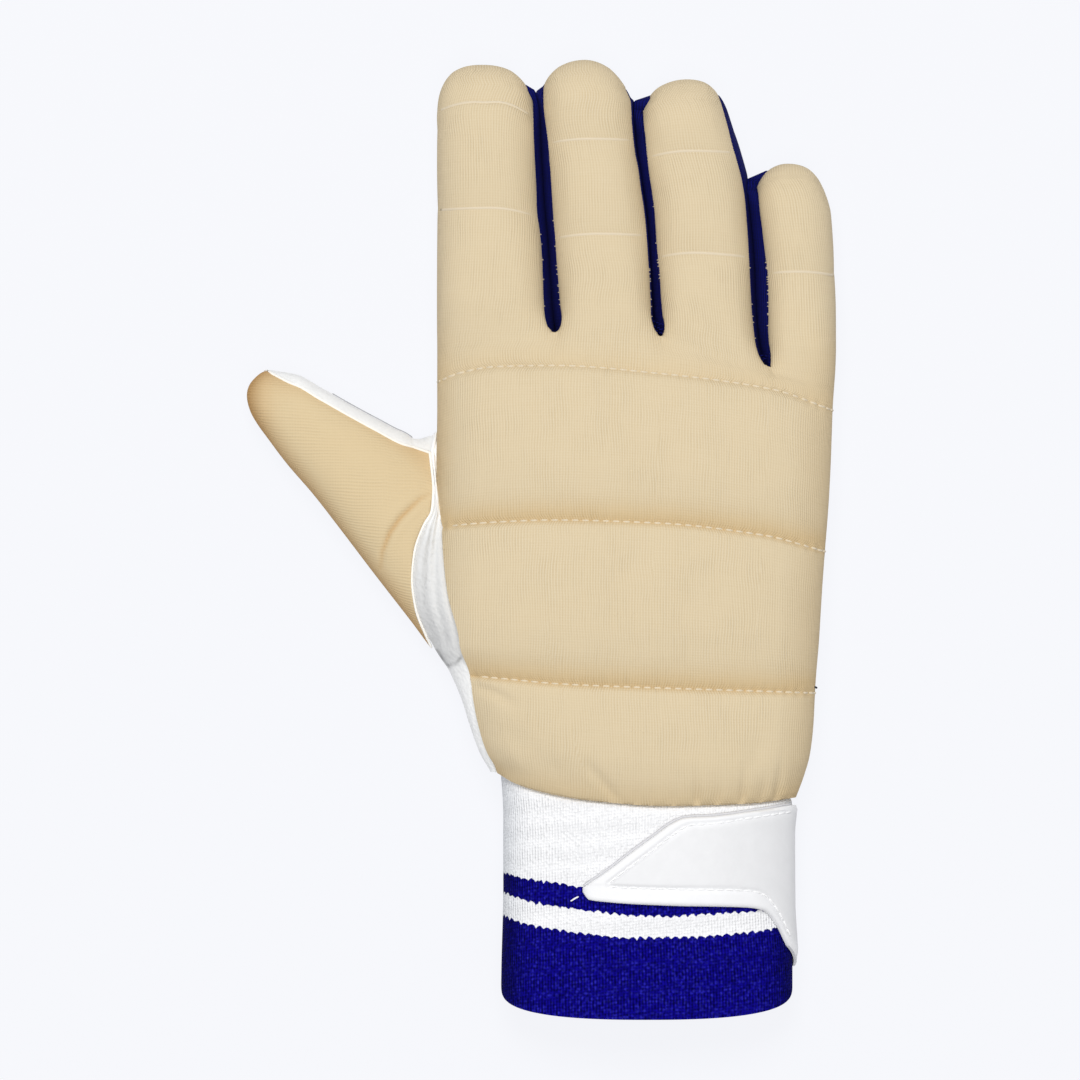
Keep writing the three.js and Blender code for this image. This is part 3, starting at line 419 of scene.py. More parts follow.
def strip_grid(number, rows, hand_turn, finger_turn, thin=None, columns=STRIP_COLUMNS):
    """Outer and inner points of one strip. Over the hand neighbouring strips share their edge points."""
    share = np.linspace(0, 1, columns + 1)
    outer, inner = [], []
    for row in rows:
        at, core, edge = strip_skin(number, share, row, hand_turn, finger_turn)
        if "line" in row:
            for end, neighbour in ((0, number - 1), (-1, number + 1)):
                if 0 <= neighbour < 4:
                    beside = np.array([1.0 if end == 0 else 0.0])
                    other = strip_skin(neighbour, beside, row, hand_turn, finger_turn)
                    at[end], core[end] = (at[end] + other[0][0]) / 2, (core[end] + other[1][0]) / 2
                    edge[end] = (edge[end] + other[2][0]) / 2
        inward = inwards(at, core)
        fade = np.minimum(1, edge * 1.4)
        if "along" in row:
            fade = np.minimum(1, np.minimum(share, 1 - share) * 4) ** 0.7
        wall = thin if thin else mix(BACK_SEAM, row["wall"], fade)
        swell = 0 if thin else row["swell"] * fade
        outer.append(at - inward * np.reshape(swell, (-1, 1)) * (0.45, 1, 1))
        inner.append(at + inward * np.reshape(wall, (-1, 1)))
    return np.array(outer), np.array(inner)


def lengths_along(path):
    return np.concatenate([[0], np.cumsum(np.linalg.norm(np.diff(path, axis=0), axis=1))])


def arc_lengths(grid):
    """How far each point lies from the middle of its row, and each row along the middle."""
    steps = np.linalg.norm(np.diff(grid, axis=1), axis=2)
    across = np.concatenate([np.zeros((len(grid), 1)), np.cumsum(steps, axis=1)], axis=1)
    middle = grid.shape[1] // 2
    along = lengths_along(grid[:, middle])
    return np.stack([across - across[:, middle : middle + 1], across * 0 + along[:, None]], -1)


def wall_mesh(name, patches):
    """Closes patches of cloth, each (outer, inner, uv) grids, into one solid wall with smooth faces."""
    outer = np.concatenate([patch[0].reshape(-1, 3) for patch in patches])
    inner = np.concatenate([patch[1].reshape(-1, 3) for patch in patches])
    uv = np.concatenate([patch[2].reshape(-1, 2) for patch in patches])
    _, first, known = np.unique(np.round(outer, 3), axis=0, return_index=True, return_inverse=True)
    known = known.reshape(-1)
    corners, start = [], 0
    for patch in patches:
        rows, columns = patch[0].shape[:2]
        index = start + np.arange(rows * columns).reshape(rows, columns)
        quads = np.stack([index[:-1, :-1], index[:-1, 1:], index[1:, 1:], index[1:, :-1]], -1)
        corners.append(quads.reshape(-1, 4))
        start += rows * columns
    corners = np.concatenate(corners)
    faces, face_uv = [], []
    for quad in corners:
        ring = []
        for corner in quad:
            if known[corner] not in [known[other] for other in ring]:
                ring.append(corner)
        if len(ring) > 2:
            faces.append([int(known[corner]) for corner in ring])
            face_uv.append([uv[corner] for corner in ring])
    count = len(first)
    edges = {}
    for face, places in zip(faces, face_uv):
        for i, a in enumerate(face):
            b = face[(i + 1) % len(face)]
            edges[(a, b)] = (places[i], places[(i + 1) % len(face)])
    rims = [(a, b, place) for (a, b), place in edges.items() if (b, a) not in edges]
    all_faces = faces + [[v + count for v in reversed(face)] for face in faces]
    all_uv = face_uv + [list(reversed(places)) for places in face_uv]
    for a, b, (at_a, at_b) in rims:
        all_faces.append([b, a, a + count, b + count])
        all_uv.append([at_b, at_a, at_a, at_b])
    points = np.concatenate([outer[first], inner[first]])
    mesh = bpy.data.meshes.new(name)
    mesh.from_pydata(((points - ORIGIN) / 1000).tolist(), [], all_faces)
    mesh.uv_layers.new(name="knit").uv.foreach_set(
        "vector", np.array([place for places in all_uv for place in places], np.float32).ravel()
    )
    triangles = [face[:3] for face in all_faces] + [[f[0], *f[2:]] for f in all_faces if len(f) > 3]
    a, b, c = points[np.array(triangles)].transpose(1, 0, 2)
    if np.einsum("ij,ij->", a, np.cross(b, c)) < 0:
        mesh.flip_normals()
    mesh.polygons.foreach_set("use_smooth", np.ones(len(mesh.polygons), bool))
    mesh.set_sharp_from_angle(angle=math.radians(55))
    return mesh


def add_piece(name, mesh, node, material):
    """Shows a mesh in place of its CAD node."""
    piece = bpy.data.objects.new(name, mesh)
    bpy.context.scene.collection.objects.link(piece)
    mesh.materials.append(material)
    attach(piece, "root")
    if node:
        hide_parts(node)
    return piece


def add_node(tree, kind, inputs=(), **settings):
    """Adds a shader node. Inputs are values or the sockets of other nodes, by socket name or number."""
    made = tree.nodes.new(kind)
    for name, value in settings.items():
        setattr(made, name, value)
    for name, value in dict(inputs).items():
        if isinstance(value, bpy.types.NodeSocket):
            tree.links.new(value, made.inputs[name])
        else:
            made.inputs[name].default_value = value
    return made


def result_of(tree, operation, *values):
    return add_node(tree, "ShaderNodeMath", enumerate(values), operation=operation).outputs[0]


def vector_of(tree, operation, inputs):
    return add_node(tree, "ShaderNodeVectorMath", inputs, operation=operation).outputs[0]


def noise_of(tree, place, scale, detail):
    inputs = {"Vector": place, "Scale": scale, "Detail": detail}
    return add_node(tree, "ShaderNodeTexNoise", inputs).outputs["Fac"]


def ramp(tree, value, low, high, first=0.0, last=1.0, kind="LINEAR"):
    """Goes from first to last while the value goes from low to high."""
    inputs = {0: value, 1: low, 2: high, 3: first, 4: last}
    return add_node(tree, "ShaderNodeMapRange", inputs, interpolation_type=kind).outputs[0]


def blend(tree, share, first, last):
    """The colour between two others."""
    return add_node(tree, "ShaderNodeMix", {0: share, 6: first, 7: last}, data_type="RGBA").outputs[2]


def new_group(name, measures):
    """A shader node group from a place, a colour and measures to a colour and a normal, and its inputs."""
    tree = bpy.data.node_groups.new(name, "ShaderNodeTree")
    tree.interface.new_socket("Place", in_out="INPUT", socket_type="NodeSocketVector")
    tree.interface.new_socket("Colour", in_out="INPUT", socket_type="NodeSocketColor")
    for label, value in measures.items():
        socket = tree.interface.new_socket(label, in_out="INPUT", socket_type="NodeSocketFloat")
        socket.default_value = value
    tree.interface.new_socket("Colour", in_out="OUTPUT", socket_type="NodeSocketColor")
    tree.interface.new_socket("Normal", in_out="OUTPUT", socket_type="NodeSocketVector")
    return tree, tree.nodes.new("NodeGroupInput").outputs


def end_group(tree, given, relief, tint):
    """Puts out the group's colour, and its relief as a normal, as deep as its Depth says."""
    depth = result_of(tree, "MULTIPLY", given["Depth"], 0.001)
    bump = add_node(tree, "ShaderNodeBump", {"Height": relief, "Strength": 1.0, "Distance": depth})
    result = tree.nodes.new("NodeGroupOutput")
    tree.links.new(tint, result.inputs["Colour"])
    tree.links.new(bump.outputs[0], result.inputs["Normal"])
    return tree


def rib_knit_group():
    """Fine rib knit: upright wales, clearer in places, with faint courses and slubs. In millimetres."""
    tree, given = new_group("rib_knit", {"Wale": 0.8, "Course": 0.7, "Depth": 0.1, "Shade": 0.1})
    place = add_node(tree, "ShaderNodeSeparateXYZ", {0: given["Place"]})
    wander = noise_of(tree, given["Place"], 0.06, 1)
    shifted = result_of(tree, "MULTIPLY_ADD", wander, 2.2, place.outputs[0])
    wale = result_of(tree, "DIVIDE", shifted, given["Wale"])
    wave = result_of(tree, "COSINE", result_of(tree, "MULTIPLY", wale, 2 * math.pi))
    course = result_of(tree, "DIVIDE", place.outputs[1], given["Course"])
    cross = result_of(tree, "COSINE", result_of(tree, "MULTIPLY", course, 2 * math.pi))

    # The wales are clearer in some places than in others, and break up along their length.
    clearness = ramp(tree, noise_of(tree, given["Place"], 0.07, 2), 0.35, 0.65, 0.55, 1.15)
    drawn_out = vector_of(tree, "MULTIPLY", {0: given["Place"], 1: (0.9, 0.12, 1)})
    broken = result_of(tree, "MULTIPLY", clearness, noise_of(tree, drawn_out, 1, 3))
    loops = result_of(tree, "MULTIPLY_ADD", cross, 0.12, result_of(tree, "MULTIPLY", wave, broken))
    slub = noise_of(tree, vector_of(tree, "MULTIPLY", {0: given["Place"], 1: (0.12, 1.6, 1)}), 1, 2)
    relief = result_of(tree, "MULTIPLY_ADD", result_of(tree, "SUBTRACT", slub, 0.5), 0.35, loops)

    # Painted shade: between the wales the colour is darker and warmer.
    swing = result_of(tree, "MULTIPLY", relief, given["Shade"])
    shares = vector_of(tree, "MULTIPLY_ADD", {0: swing, 1: (0.7, 1.0, 1.6), 2: (1, 1, 1)})
    tint = vector_of(tree, "MULTIPLY", {0: given["Colour"], 1: shares})
    return end_group(tree, given, relief, tint)


def new_material(name):
    """A material's node tree and its Principled BSDF."""
    made = bpy.data.materials.new(name)
    made.use_nodes = True
    return made, made.node_tree, made.node_tree.nodes["Principled BSDF"]


def plain_material(name, colour, roughness):
    material, _, shader = new_material(name)
    shader.inputs["Base Color"].default_value = (*colour, 1)
    shader.inputs["Roughness"].default_value = roughness
    return material


def cover(tree, shader, group, values):
    """Lays a shader group over a piece by its own measure, and feeds the piece's colour and normal."""
    uv = add_node(tree, "ShaderNodeUVMap", uv_map="knit")
    cloth = add_node(tree, "ShaderNodeGroup", {"Place": uv.outputs[0], **values}, node_tree=group)
    tree.links.new(cloth.outputs["Colour"], shader.inputs["Base Color"])
    tree.links.new(cloth.outputs["Normal"], shader.inputs["Normal"])


RIB_KNIT = rib_knit_group()


def knit_material(name, colour, wale, course, depth, shade, shade_tint=(0.94, 0.86, 0.73)):
    """Rib knit. Painted shade: its colour is made darker and warmer by a mesh attribute, as far as that
    says.
    """
    material, tree, shader = new_material(name)
    painted_shade = add_node(tree, "ShaderNodeAttribute", attribute_name="painted_shade")
    shaded_colour = (*(value * share for value, share in zip(colour, shade_tint)), 1)
    base = blend(tree, painted_shade.outputs["Fac"], (*colour, 1), shaded_colour)
    values = {"Colour": base, "Wale": wale, "Course": course, "Depth": depth, "Shade": shade}
    cover(tree, shader, RIB_KNIT, values)
    shader.inputs["Roughness"].default_value = 0.95
    shader.inputs["Specular IOR Level"].default_value = 0.12
    return material


def tube_mesh(name, paths, radius, sides=8):
    """Round threads along open paths of points, with rounded ends, as one mesh."""
    vertices, faces = [], []
    for path in paths:
        path = np.asarray(path, float)
        along = np.gradient(path, axis=0)
        along /= np.maximum(np.linalg.norm(along, axis=1, keepdims=True), 1e-9)
        up = np.where(np.abs(along[:, 2:3]) > 0.9, (1.0, 0, 0), (0, 0, 1.0))
        side = np.cross(along, up)
        side /= np.linalg.norm(side, axis=1, keepdims=True)
        above = np.cross(side, along)
        last = len(path) - 1
        rounded = ((0.3, 0.9), (0.85, 0.5))
        places = [
            *[(0, -ahead, share) for ahead, share in reversed(rounded)],
            *[(i, 0, 1) for i in range(len(path))],
            *[(last, ahead, share) for ahead, share in rounded],
        ]
        start = len(vertices)
        for i, ahead, share in places:
            for k in range(sides):
                angle = 2 * math.pi * k / sides
                out = side[i] * math.cos(angle) + above[i] * math.sin(angle)
                vertices.append(path[i] + along[i] * ahead * radius + out * share * radius)
        for ring in range(len(places) - 1):
            for k in range(sides):
                a, b = start + ring * sides + k, start + ring * sides + (k + 1) % sides
                faces.append([a, b, b + sides, a + sides])
        faces.append([start + k for k in reversed(range(sides))])
        end = start + (len(places) - 1) * sides
        faces.append([end + k for k in range(sides)])
    mesh = bpy.data.meshes.new(name)
    mesh.from_pydata(((np.array(vertices) - ORIGIN) / 1000).tolist(), [], faces)
    mesh.polygons.foreach_set("use_smooth", np.ones(len(mesh.polygons), bool))
    return mesh


def add_threads(name, paths, radius, material, sides=8):
    """Shows threads, which stand for no CAD node of their own."""
    add_piece(name, tube_mesh(name, paths, radius, sides), None, material)


def stitches_along(line, pitch, length, lift, start=0.0, sag=0.12):
    """Short threads lying along a line of points, each sunk at its two ends."""
    line = np.asarray(line, float)
    gone = lengths_along(line)
    made = []
    at = start
    while at + length < gone[-1]:
        stops = at + np.linspace(0, length, 5)
        points = np.stack([np.interp(stops, gone, line[:, i]) for i in range(3)], -1)
        points[:, 2] += lift - sag * np.array([1.6, 0.2, 0, 0.2, 1.6])
        made.append(points)
        at += pitch
    return made


def distance_to(points, path):
    """Distance in plan from points to a path, and the share of the path's length where it is nearest."""
    path = np.asarray(path, float)
    flat = points[..., :2].reshape(-1, 2)
    best, share = np.full(len(flat), 1e9), np.zeros(len(flat))
    gone = lengths_along(path)
    for i, (a, b) in enumerate(zip(path, path[1:])):
        t = np.clip(((flat - a) @ (b - a)) / max((b - a) @ (b - a), 1e-9), 0, 1)
        away = np.linalg.norm(flat - (a + t[:, None] * (b - a)), axis=1)
        nearer = away < best
        best[nearer] = away[nearer]
        share[nearer] = ((gone[i] + t * (gone[i + 1] - gone[i])) / gone[-1])[nearer]
    return best.reshape(points.shape[:-1]), share.reshape(points.shape[:-1])


def bell(away, width):
    """1 where away is 0, and falling to nearly nothing at twice the width."""
    return np.exp(-((away / width) ** 2))


def run_out(share, margin):
    """A fold's strength along its length: full in the middle, and little left at its two ends."""
    return np.sin(math.pi * np.clip(share, margin, 1 - margin)) ** 0.5


def places_of(mesh):
    """A mesh's vertices in the plan's millimetres."""
    return np.array([vertex.co for vertex in mesh.vertices]) * 1000 + ORIGIN


def keep_on(mesh, name, values):
    """Keeps a value for each vertex of a mesh as an attribute, which its material reads."""
    mesh.attributes.new(name, "FLOAT", "POINT").data.foreach_set("value", values.astype(np.float32))


# Gathers at the wrist seam: where each starts across the hand, how far it runs up and how deep it is.
GATHERS = [
    (4, 3, 0.25), (27.5, 4, 0.4), (31, 4, 0.3), (37.5, 4, 0.35), (43.9, 8, 0.9), (49.6, 5, 0.45),
    (56.4, 8, 0.8), (61.8, 6, 0.6), (66, 9, 0.7),
]
# Folds further up: a path in plan, how wide and how deep each is.
FOLDS = [
    (((22.2, -73.5), (19, -69.5), (15.5, -65.5), (12.5, -62.5)), 1.5, 0.8),
    (((-18.5, -41), (-15, -42), (-11.3, -43.6), (-7, -46)), 1.3, 0.9),
    (((58, -66), (60, -61), (61, -55)), 2.5, 0.5),
    (((-14, -52), (-4, -58), (8, -66)), 3.5, 0.6),
]
# Folds and puckers end at this y, before the fingers, and the knit's painted shade a little further on.
FOLDS_END = 52
PAINTED_SHADE_END = 64
SOFTENING_ROUNDS = 40
STITCH_PITCH = 3
STITCH_LENGTH = 2.3
PUCKER = 0.22


def fold_depth(points):
    """How deep the back's gathers and folds are at points, and the small puckers beside its sewn lines."""
    x, y = points[..., 0], points[..., 1]
    wrist = lines["wrist"](np.clip((x + 12) / 84, 0, 1))
    above = np.maximum(y - wrist, 0)
    depth = np.zeros(x.shape)
    for place, length, deep in GATHERS:
        leaning = place + (place - 45) * 0.006 * above
        depth += deep * bell(x - leaning, 1.1) * bell(above, length)
        depth -= 0.5 * deep * bell(x - leaning - 2.2, 1.3) * bell(above, length)
    for path, width, deep in FOLDS:
        away, share = distance_to(points, path)
        depth += deep * bell(away, width) * run_out(share, 0.02)
    across = (x - hand_left(y)) / (hand_right(y) - hand_left(y))
    for name in ("quilt3", "quilt2", "quilt1"):
        below = lines[name](across) - y
        depth += PUCKER * np.cos(2 * math.pi * x / STITCH_PITCH) * bell(below, 1.3)
    return depth


def soften(outer, first, last):
    """Evens out rows of a grid along it, away from its two side edges."""
    width = outer.shape[1]
    inside = np.clip(np.minimum(np.arange(width), width - 1 - np.arange(width)) / 4, 0, 1)[None, :, None]
    for _ in range(SOFTENING_ROUNDS):
        middle = outer[first:last]
        even = (outer[first - 1 : last - 1] + outer[first + 1 : last + 1]) / 2
        outer[first:last] = middle + (even - middle) * 0.5 * inside


def back_patches():
    patches = []
    joint = len(hand_rows())
    for number in range(4):
        rows = hand_rows() + finger_rows(number)
        outer, inner = strip_grid(number, rows, back_hand_turn, back_finger_turn)
        soften(outer, joint - 7, joint + 7)
        inward = inwards(outer, inner)
        rim = np.minimum(1, np.arange(len(rows)) / 2)[:, None]
        on_top = np.clip(outer[..., 2] / 10 - 1.2, 0, 1)
        depth = fold_depth(outer) * (outer[..., 1] < FOLDS_END) * on_top * rim
        outer += inward * depth[..., None]
        patches.append((outer, inner, arc_lengths(outer)))
    return patches


# The knit runs on unbroken over the hand, so its place across is counted from a wale in the middle.
MIDDLE_WALE = 27
back = back_patches()
HAND_ROW_COUNT = len(hand_rows())
over_hand = np.concatenate([outer[:HAND_ROW_COUNT] for outer, _, _ in back], axis=1)
gone = np.cumsum(np.linalg.norm(np.diff(over_hand, axis=1, prepend=over_hand[:, :1]), axis=2), axis=1)
width = STRIP_COLUMNS + 1
middle_half = slice(width, 3 * width)
anchor = [
    np.interp(MIDDLE_WALE, row[:, 0], at)
    for row, at in zip(over_hand[:, middle_half], gone[:, middle_half])
]
gone += MIDDLE_WALE - np.array(anchor)[:, None]
for number, (outer, _, uv) in enumerate(back):
    uv[:HAND_ROW_COUNT, :, 0] = gone[:, number * width : (number + 1) * width]
    uv[HAND_ROW_COUNT:, :, 0] += gone[-1, number * width + width // 2]
    uv[..., 1] += outer[0, width // 2, 1]

back_mesh = wall_mesh("padded_back", back)
x, y, _ = places_of(back_mesh).T
across = (x - hand_left(y)) / (hand_right(y) - hand_left(y))

# Painted shade: the knit is darker and warmer along the sewn lines, mostly above them, and down both sides.
painted_shade = np.zeros(len(y))
for name, strength in (("wrist", 0.55), ("quilt3", 1), ("quilt2", 1), ("quilt1", 0.3)):
    above = y - lines[name](across)
    painted_shade += strength * np.where(above > 0, bell(above, 5), bell(above, 0.7))
painted_shade += 0.4 * np.clip((across - 0.9) / 0.1, 0, 1) + 0.5 * np.clip((0.05 - across) / 0.05, 0, 1)
painted_shade = np.clip(painted_shade, 0, 1) * np.clip((PAINTED_SHADE_END - y) / 14, 0, 1)
keep_on(back_mesh, "painted_shade", painted_shade)
beige_knit = knit_material("beige_knit", (0.628, 0.518, 0.345), 0.78, 0.75, 0.08, 0.14)
back_piece = add_piece("padded_back", back_mesh, "back_panel", beige_knit)

# Cream thread of the sewn lines over the hand, and the narrow folds it pinches up across the fingers. A
# fold sinks into the knit at its two ends, which lie further in on the outer side of the hand.
FOLD_SINKS = {"middle": 0.16, "ends": 0.5}
thread_paths, fold_paths = [], []
for i, row in enumerate(hand_rows()):
    if row["sewn"] and i > 0:
        line = np.concatenate([patch[0][i] for patch in back])[8:-8]
        thread_paths += stitches_along(line, STITCH_PITCH, STITCH_LENGTH, 0, sag=0.3)
for number, (outer, _, _) in enumerate(back):
    for i, row in enumerate(finger_rows(number)):
        if row["sewn"]:
            first, last = 9 if number == 0 else 5, 9 if number == 3 else 5
            pinched = outer[HAND_ROW_COUNT + i, first:-last]
            sunk = FOLD_SINKS["middle"] + FOLD_SINKS["ends"] * np.linspace(-1, 1, len(pinched)) ** 4
            fold_paths.append(pinched - np.outer(sunk, (0, 0, 1)))
cream_thread = plain_material("cream_thread", (0.655, 0.56, 0.41), 0.7)
add_threads("quilting_thread", thread_paths, 0.36, cream_thread)
add_threads("finger_folds", fold_paths, 0.5, cream_thread, sides=16)

# A dark loose end of thread where the lowest sewn line meets the little-finger side.
end_of_thread = [np.array([(76.2, -41.1, 16.5), (76.9, -41.2, 16.8), (77.4, -41.4, 16.2)])]
dark_thread = plain_material("dark_thread", (0.02, 0.02, 0.03), 0.8)
add_threads("loose_thread", end_of_thread, 0.3, dark_thread)


# Palm
# The white under side of the hand and four fingers, thin soft leather with a matt grain. It shows only
# from the sides and below, where it is sewn to the padded back.

# Beside the thumb the palm's edge dips this many degrees below the hand's widest line.
PALM_EDGE = {"y": (-38, -32, -24, -12, 4, 16, 25, 31, 38), "dip": (8, 14, 33, 44, 45, 40, 27, 12, 8)}
# Where it is sewn to the cuff: y at the same shares of the way across as the back's lines.
PALM_WRIST = (-64.4, -64, -64, -65, -67, -70, -72.1)
PALM_WALL = 1.8
palm_edge_dip = curve(PALM_EDGE["y"], PALM_EDGE["dip"])
palm_wrist = curve(list(ACROSS.values()), PALM_WRIST)


def palm_hand_turn(number, share, line):
    dip = palm_edge_dip(line(0)) + SEAM_STEP
    knots = [180 + dip, *(360 - turn_at(splits[1:4] * 2 - 1, HAND_POWER)), 360 - TUCK - SEAM_STEP]
    return mix(knots[number], knots[number + 1], share)


def palm_finger_turn(number, share, along):
    left, right = (seam_turn(number, side, along, "palm") for side in ("left", "right"))
    return mix(180 + left, 360 - right, share)


def palm_rows(number):
    rows = []
    for step in np.linspace(0, 1, 90)[:-1]:
        rows.append({
            "line": lambda at, s=step: mix(palm_wrist(at), lines["crotch"](at), s),
            "share": PARTING_SHARE * max(0, (step - 0.85) / 0.15) ** 1.5,
        })
    for row in finger_rows(number):
        rows.append({"along": row["along"], "share": row["share"]})
    return rows


def soft_leather_group():
    """Soft matt leather: a fine grain of small cells."""
    tree, given = new_group("soft_leather", {"Grain": 1.0, "Depth": 0.05})
    grain = {"Vector": given["Place"], "Scale": given["Grain"]}
    cells = add_node(tree, "ShaderNodeTexVoronoi", grain, feature="SMOOTH_F1")
    cloud = noise_of(tree, given["Place"], 0.25, 4)
    relief = result_of(tree, "MULTIPLY_ADD", cloud, 1.5, cells.outputs["Distance"])
    lightness = result_of(tree, "MULTIPLY_ADD", result_of(tree, "SUBTRACT", cloud, 0.5), 0.08, 1.0)
    tint = vector_of(tree, "SCALE", {0: given["Colour"], "Scale": lightness})
    return end_group(tree, given, relief, tint)


SOFT_LEATHER = soft_leather_group()


def leather_material(name, colour, grain, depth, roughness, greying=0.0):
    """Soft leather. Where asked, its colour is darkened by a mesh attribute, as far as that says."""
    material, tree, shader = new_material(name)
    base = (*colour, 1)
    if greying:
        greyer = add_node(tree, "ShaderNodeAttribute", attribute_name="greying")
        left = result_of(tree, "MULTIPLY_ADD", greyer.outputs["Fac"], -greying, 1.0)
        base = vector_of(tree, "SCALE", {0: colour, "Scale": left})
    cover(tree, shader, SOFT_LEATHER, {"Colour": base, "Grain": grain, "Depth": depth})
    shader.inputs["Roughness"].default_value = roughness
    return material


palm = []
for number in range(4):
    rows = palm_rows(number)
    outer, inner = strip_grid(number, rows, palm_hand_turn, palm_finger_turn, thin=PALM_WALL, columns=20)
    palm.append((outer, inner, outer[..., :2].copy()))
white_leather = leather_material("white_leather", (0.84, 0.84, 0.83), 0.9, 0.12, 0.6)
palm_piece = add_piece("palm", wall_mesh("palm", palm), "palm_panel", white_leather)


# Strips between the fingers
# Navy knit strips sewn between back and palm, up the side of one finger, round the parting and up the
# side of the next. Their cut edges are frayed to white specks low in the slits.

STRIP_WALL = 1.2
STRIP_ROWS = 14
# The two sides of a strip touch from the hand out to a notch between the tips. By strip: the notch's y, at
# which share of the way across they touch, and how far the first side stands out just past the notch.
PARTINGS = {1: (125.7, 0.5, 0), 2: (122.9, 0.2, 0), 3: (100.5, 0.3, 1.0)}
# Past the notch a side may stand out of the slit: in plan, where it leaves the notch and where it ends.
WEDGES = {
    (0, "right"): ((-1, 125.7), (-3.3, 127.1)),
    (1, "left"): ((-1, 125.7), (1.4, 127.5)),
    (2, "left"): ((26.1, 122.9), (31.5, 124.7)),
    (3, "left"): ((57.8, 101), (63.3, 103.4)),
}


def strip_flank(number, side):
    """A finger's side from tip to hand: the back's edge, the palm's edge, the widest line and the core."""
    closes = FINGERS[number]["closes"][side == "right"]
    alongs = [*mix(closes, 1, np.linspace(0.03, 1, 16)), *np.linspace(0.98, 0.02, 44)]
    ends = []
    for along in alongs:
        row = {"along": along, "share": min(1, 0.72 + along * 1.8)}
        share = np.array([0.0 if side == "left" else 1.0])
        top, top_core, _ = strip_skin(number, share, row, back_hand_turn, back_finger_turn)
        bottom, bottom_core, _ = strip_skin(number, share, row, palm_hand_turn, palm_finger_turn)
        widest = finger_skin(number, np.array([180.0 if side == "left" else 0.0]), along)[0]
        clear = GAP * min(1.5, 0.2 + 6 * (closes - along))
        core = (top_core[0] + bottom_core[0]) / 2
        ends.append((top[0] - (0, 0, clear), bottom[0] + (0, 0, clear), widest[0], core))
    return [np.array(column) for column in zip(*ends)]


def tip_wedge(number, side, reached, core, bulge):
    """Lines across the strip's last stretch, which tapers out along the round end of a tip."""
    leaves, ends = np.array(WEDGES[number, side])
    turns = np.linspace(0, 70, 80)
    outline = finger_skin(number, turns if side == "right" else 180 - turns, 1.995)[0]
    count = max(2, int(np.searchsorted(outline[:, 1], ends[1])))
    across = np.linspace(1, -1, len(bulge))[:, None]
    made = []
    for left in np.linspace(0, 0.95, 7):
        at = outline[int((1 - left) * (count - 1))] + across * (0, 0, 0.9 * left)
        target = mix(ends, leaves, left * (1 - reached))
        at[:, :2] += (target - at[0, :2]) * bulge
        made.append((at, at + inwards(at, core) * STRIP_WALL * max(0.15, left)))
    return made


def fourchette_rings(second):
    """Lines across the strip, from the tip of one finger round the parting to the tip of the next."""
    flanks = [strip_flank(second - 1, "right"), strip_flank(second, "left")]
    seams = [(top[:, 0] + bottom[:, 0]) / 2 for top, bottom, _, _ in flanks]
    notch, meeting, free = PARTINGS[second]
    rings = []
    for this, (top, bottom, wide, core) in enumerate(flanks):
        x, other = seams[this], 1 - this
        across = np.interp(wide[:, 1], flanks[other][2][::-1, 1], seams[other][::-1])

        # Up to the notch the two sides all but touch, and past it each follows its finger.
        meet = mix(x, across, (meeting, 1 - meeting)[this]) + (0.05, -0.05)[this]
        past = wide[:, 1] - notch
        own = wide[:, 0] + (free * np.clip(1 - past / 17, 0, 1) if this == 0 else 0)
        out = mix(meet, own, np.clip(past, 0, 1)) - x
        share = np.linspace(0, 1, STRIP_ROWS + 1)
        bulge = np.sin(math.pi * share)[:, None] ** 0.8
        number, side = second - 1 + this, ("right", "left")[this]
        made, reached = [], 0
        for i in range(len(top)):
            at = mix(top[i], bottom[i], share[:, None])
            if (number, side) in WEDGES and wide[i, 1] > WEDGES[number, side][0][1]:
                leaves, ends = np.array(WEDGES[number, side])
                gone = min(1, (wide[i, 1] - leaves[1]) / (ends[1] - leaves[1]))
                reached = max(reached, gone)
                at[:, :2] += (mix(leaves, ends, gone) - (top[i] + bottom[i])[:2] / 2) * bulge
            else:
                at[:, :1] += out[i] * bulge
            made.append((at, at + inwards(at, core[i]) * STRIP_WALL))
        if (number, side) in WEDGES:
            made = [*tip_wedge(number, side, reached, core[0], bulge), *made]
        rings.append(made)

    # The line round the parting, just below the back's edge and above the palm's.
    row = {"line": lines["crotch"], "share": PARTING_SHARE}
    ends = []
    for hand_turn, finger_turn in ((back_hand_turn, back_finger_turn), (palm_hand_turn, palm_finger_turn)):
        own = strip_skin(second, np.array([0.0]), row, hand_turn, finger_turn)[0][0]
        other = strip_skin(second - 1, np.array([1.0]), row, hand_turn, finger_turn)[0][0]
        ends.append((own + other) / 2)
    y = float(lines["crotch"](splits[second])) - 0.8
    top = np.array([ends[0][0], y, ends[0][2] - BACK_WALL - 0.5])
    bottom = np.array([ends[1][0], y, ends[1][2] + PALM_WALL + 0.5])
    at = mix(top, bottom, share[:, None])
    at[:, 1] += 1.5 * np.sin(math.pi * share)
    return [*rings[0], (at, at - (0, STRIP_WALL, 0)), *reversed(rings[1])]


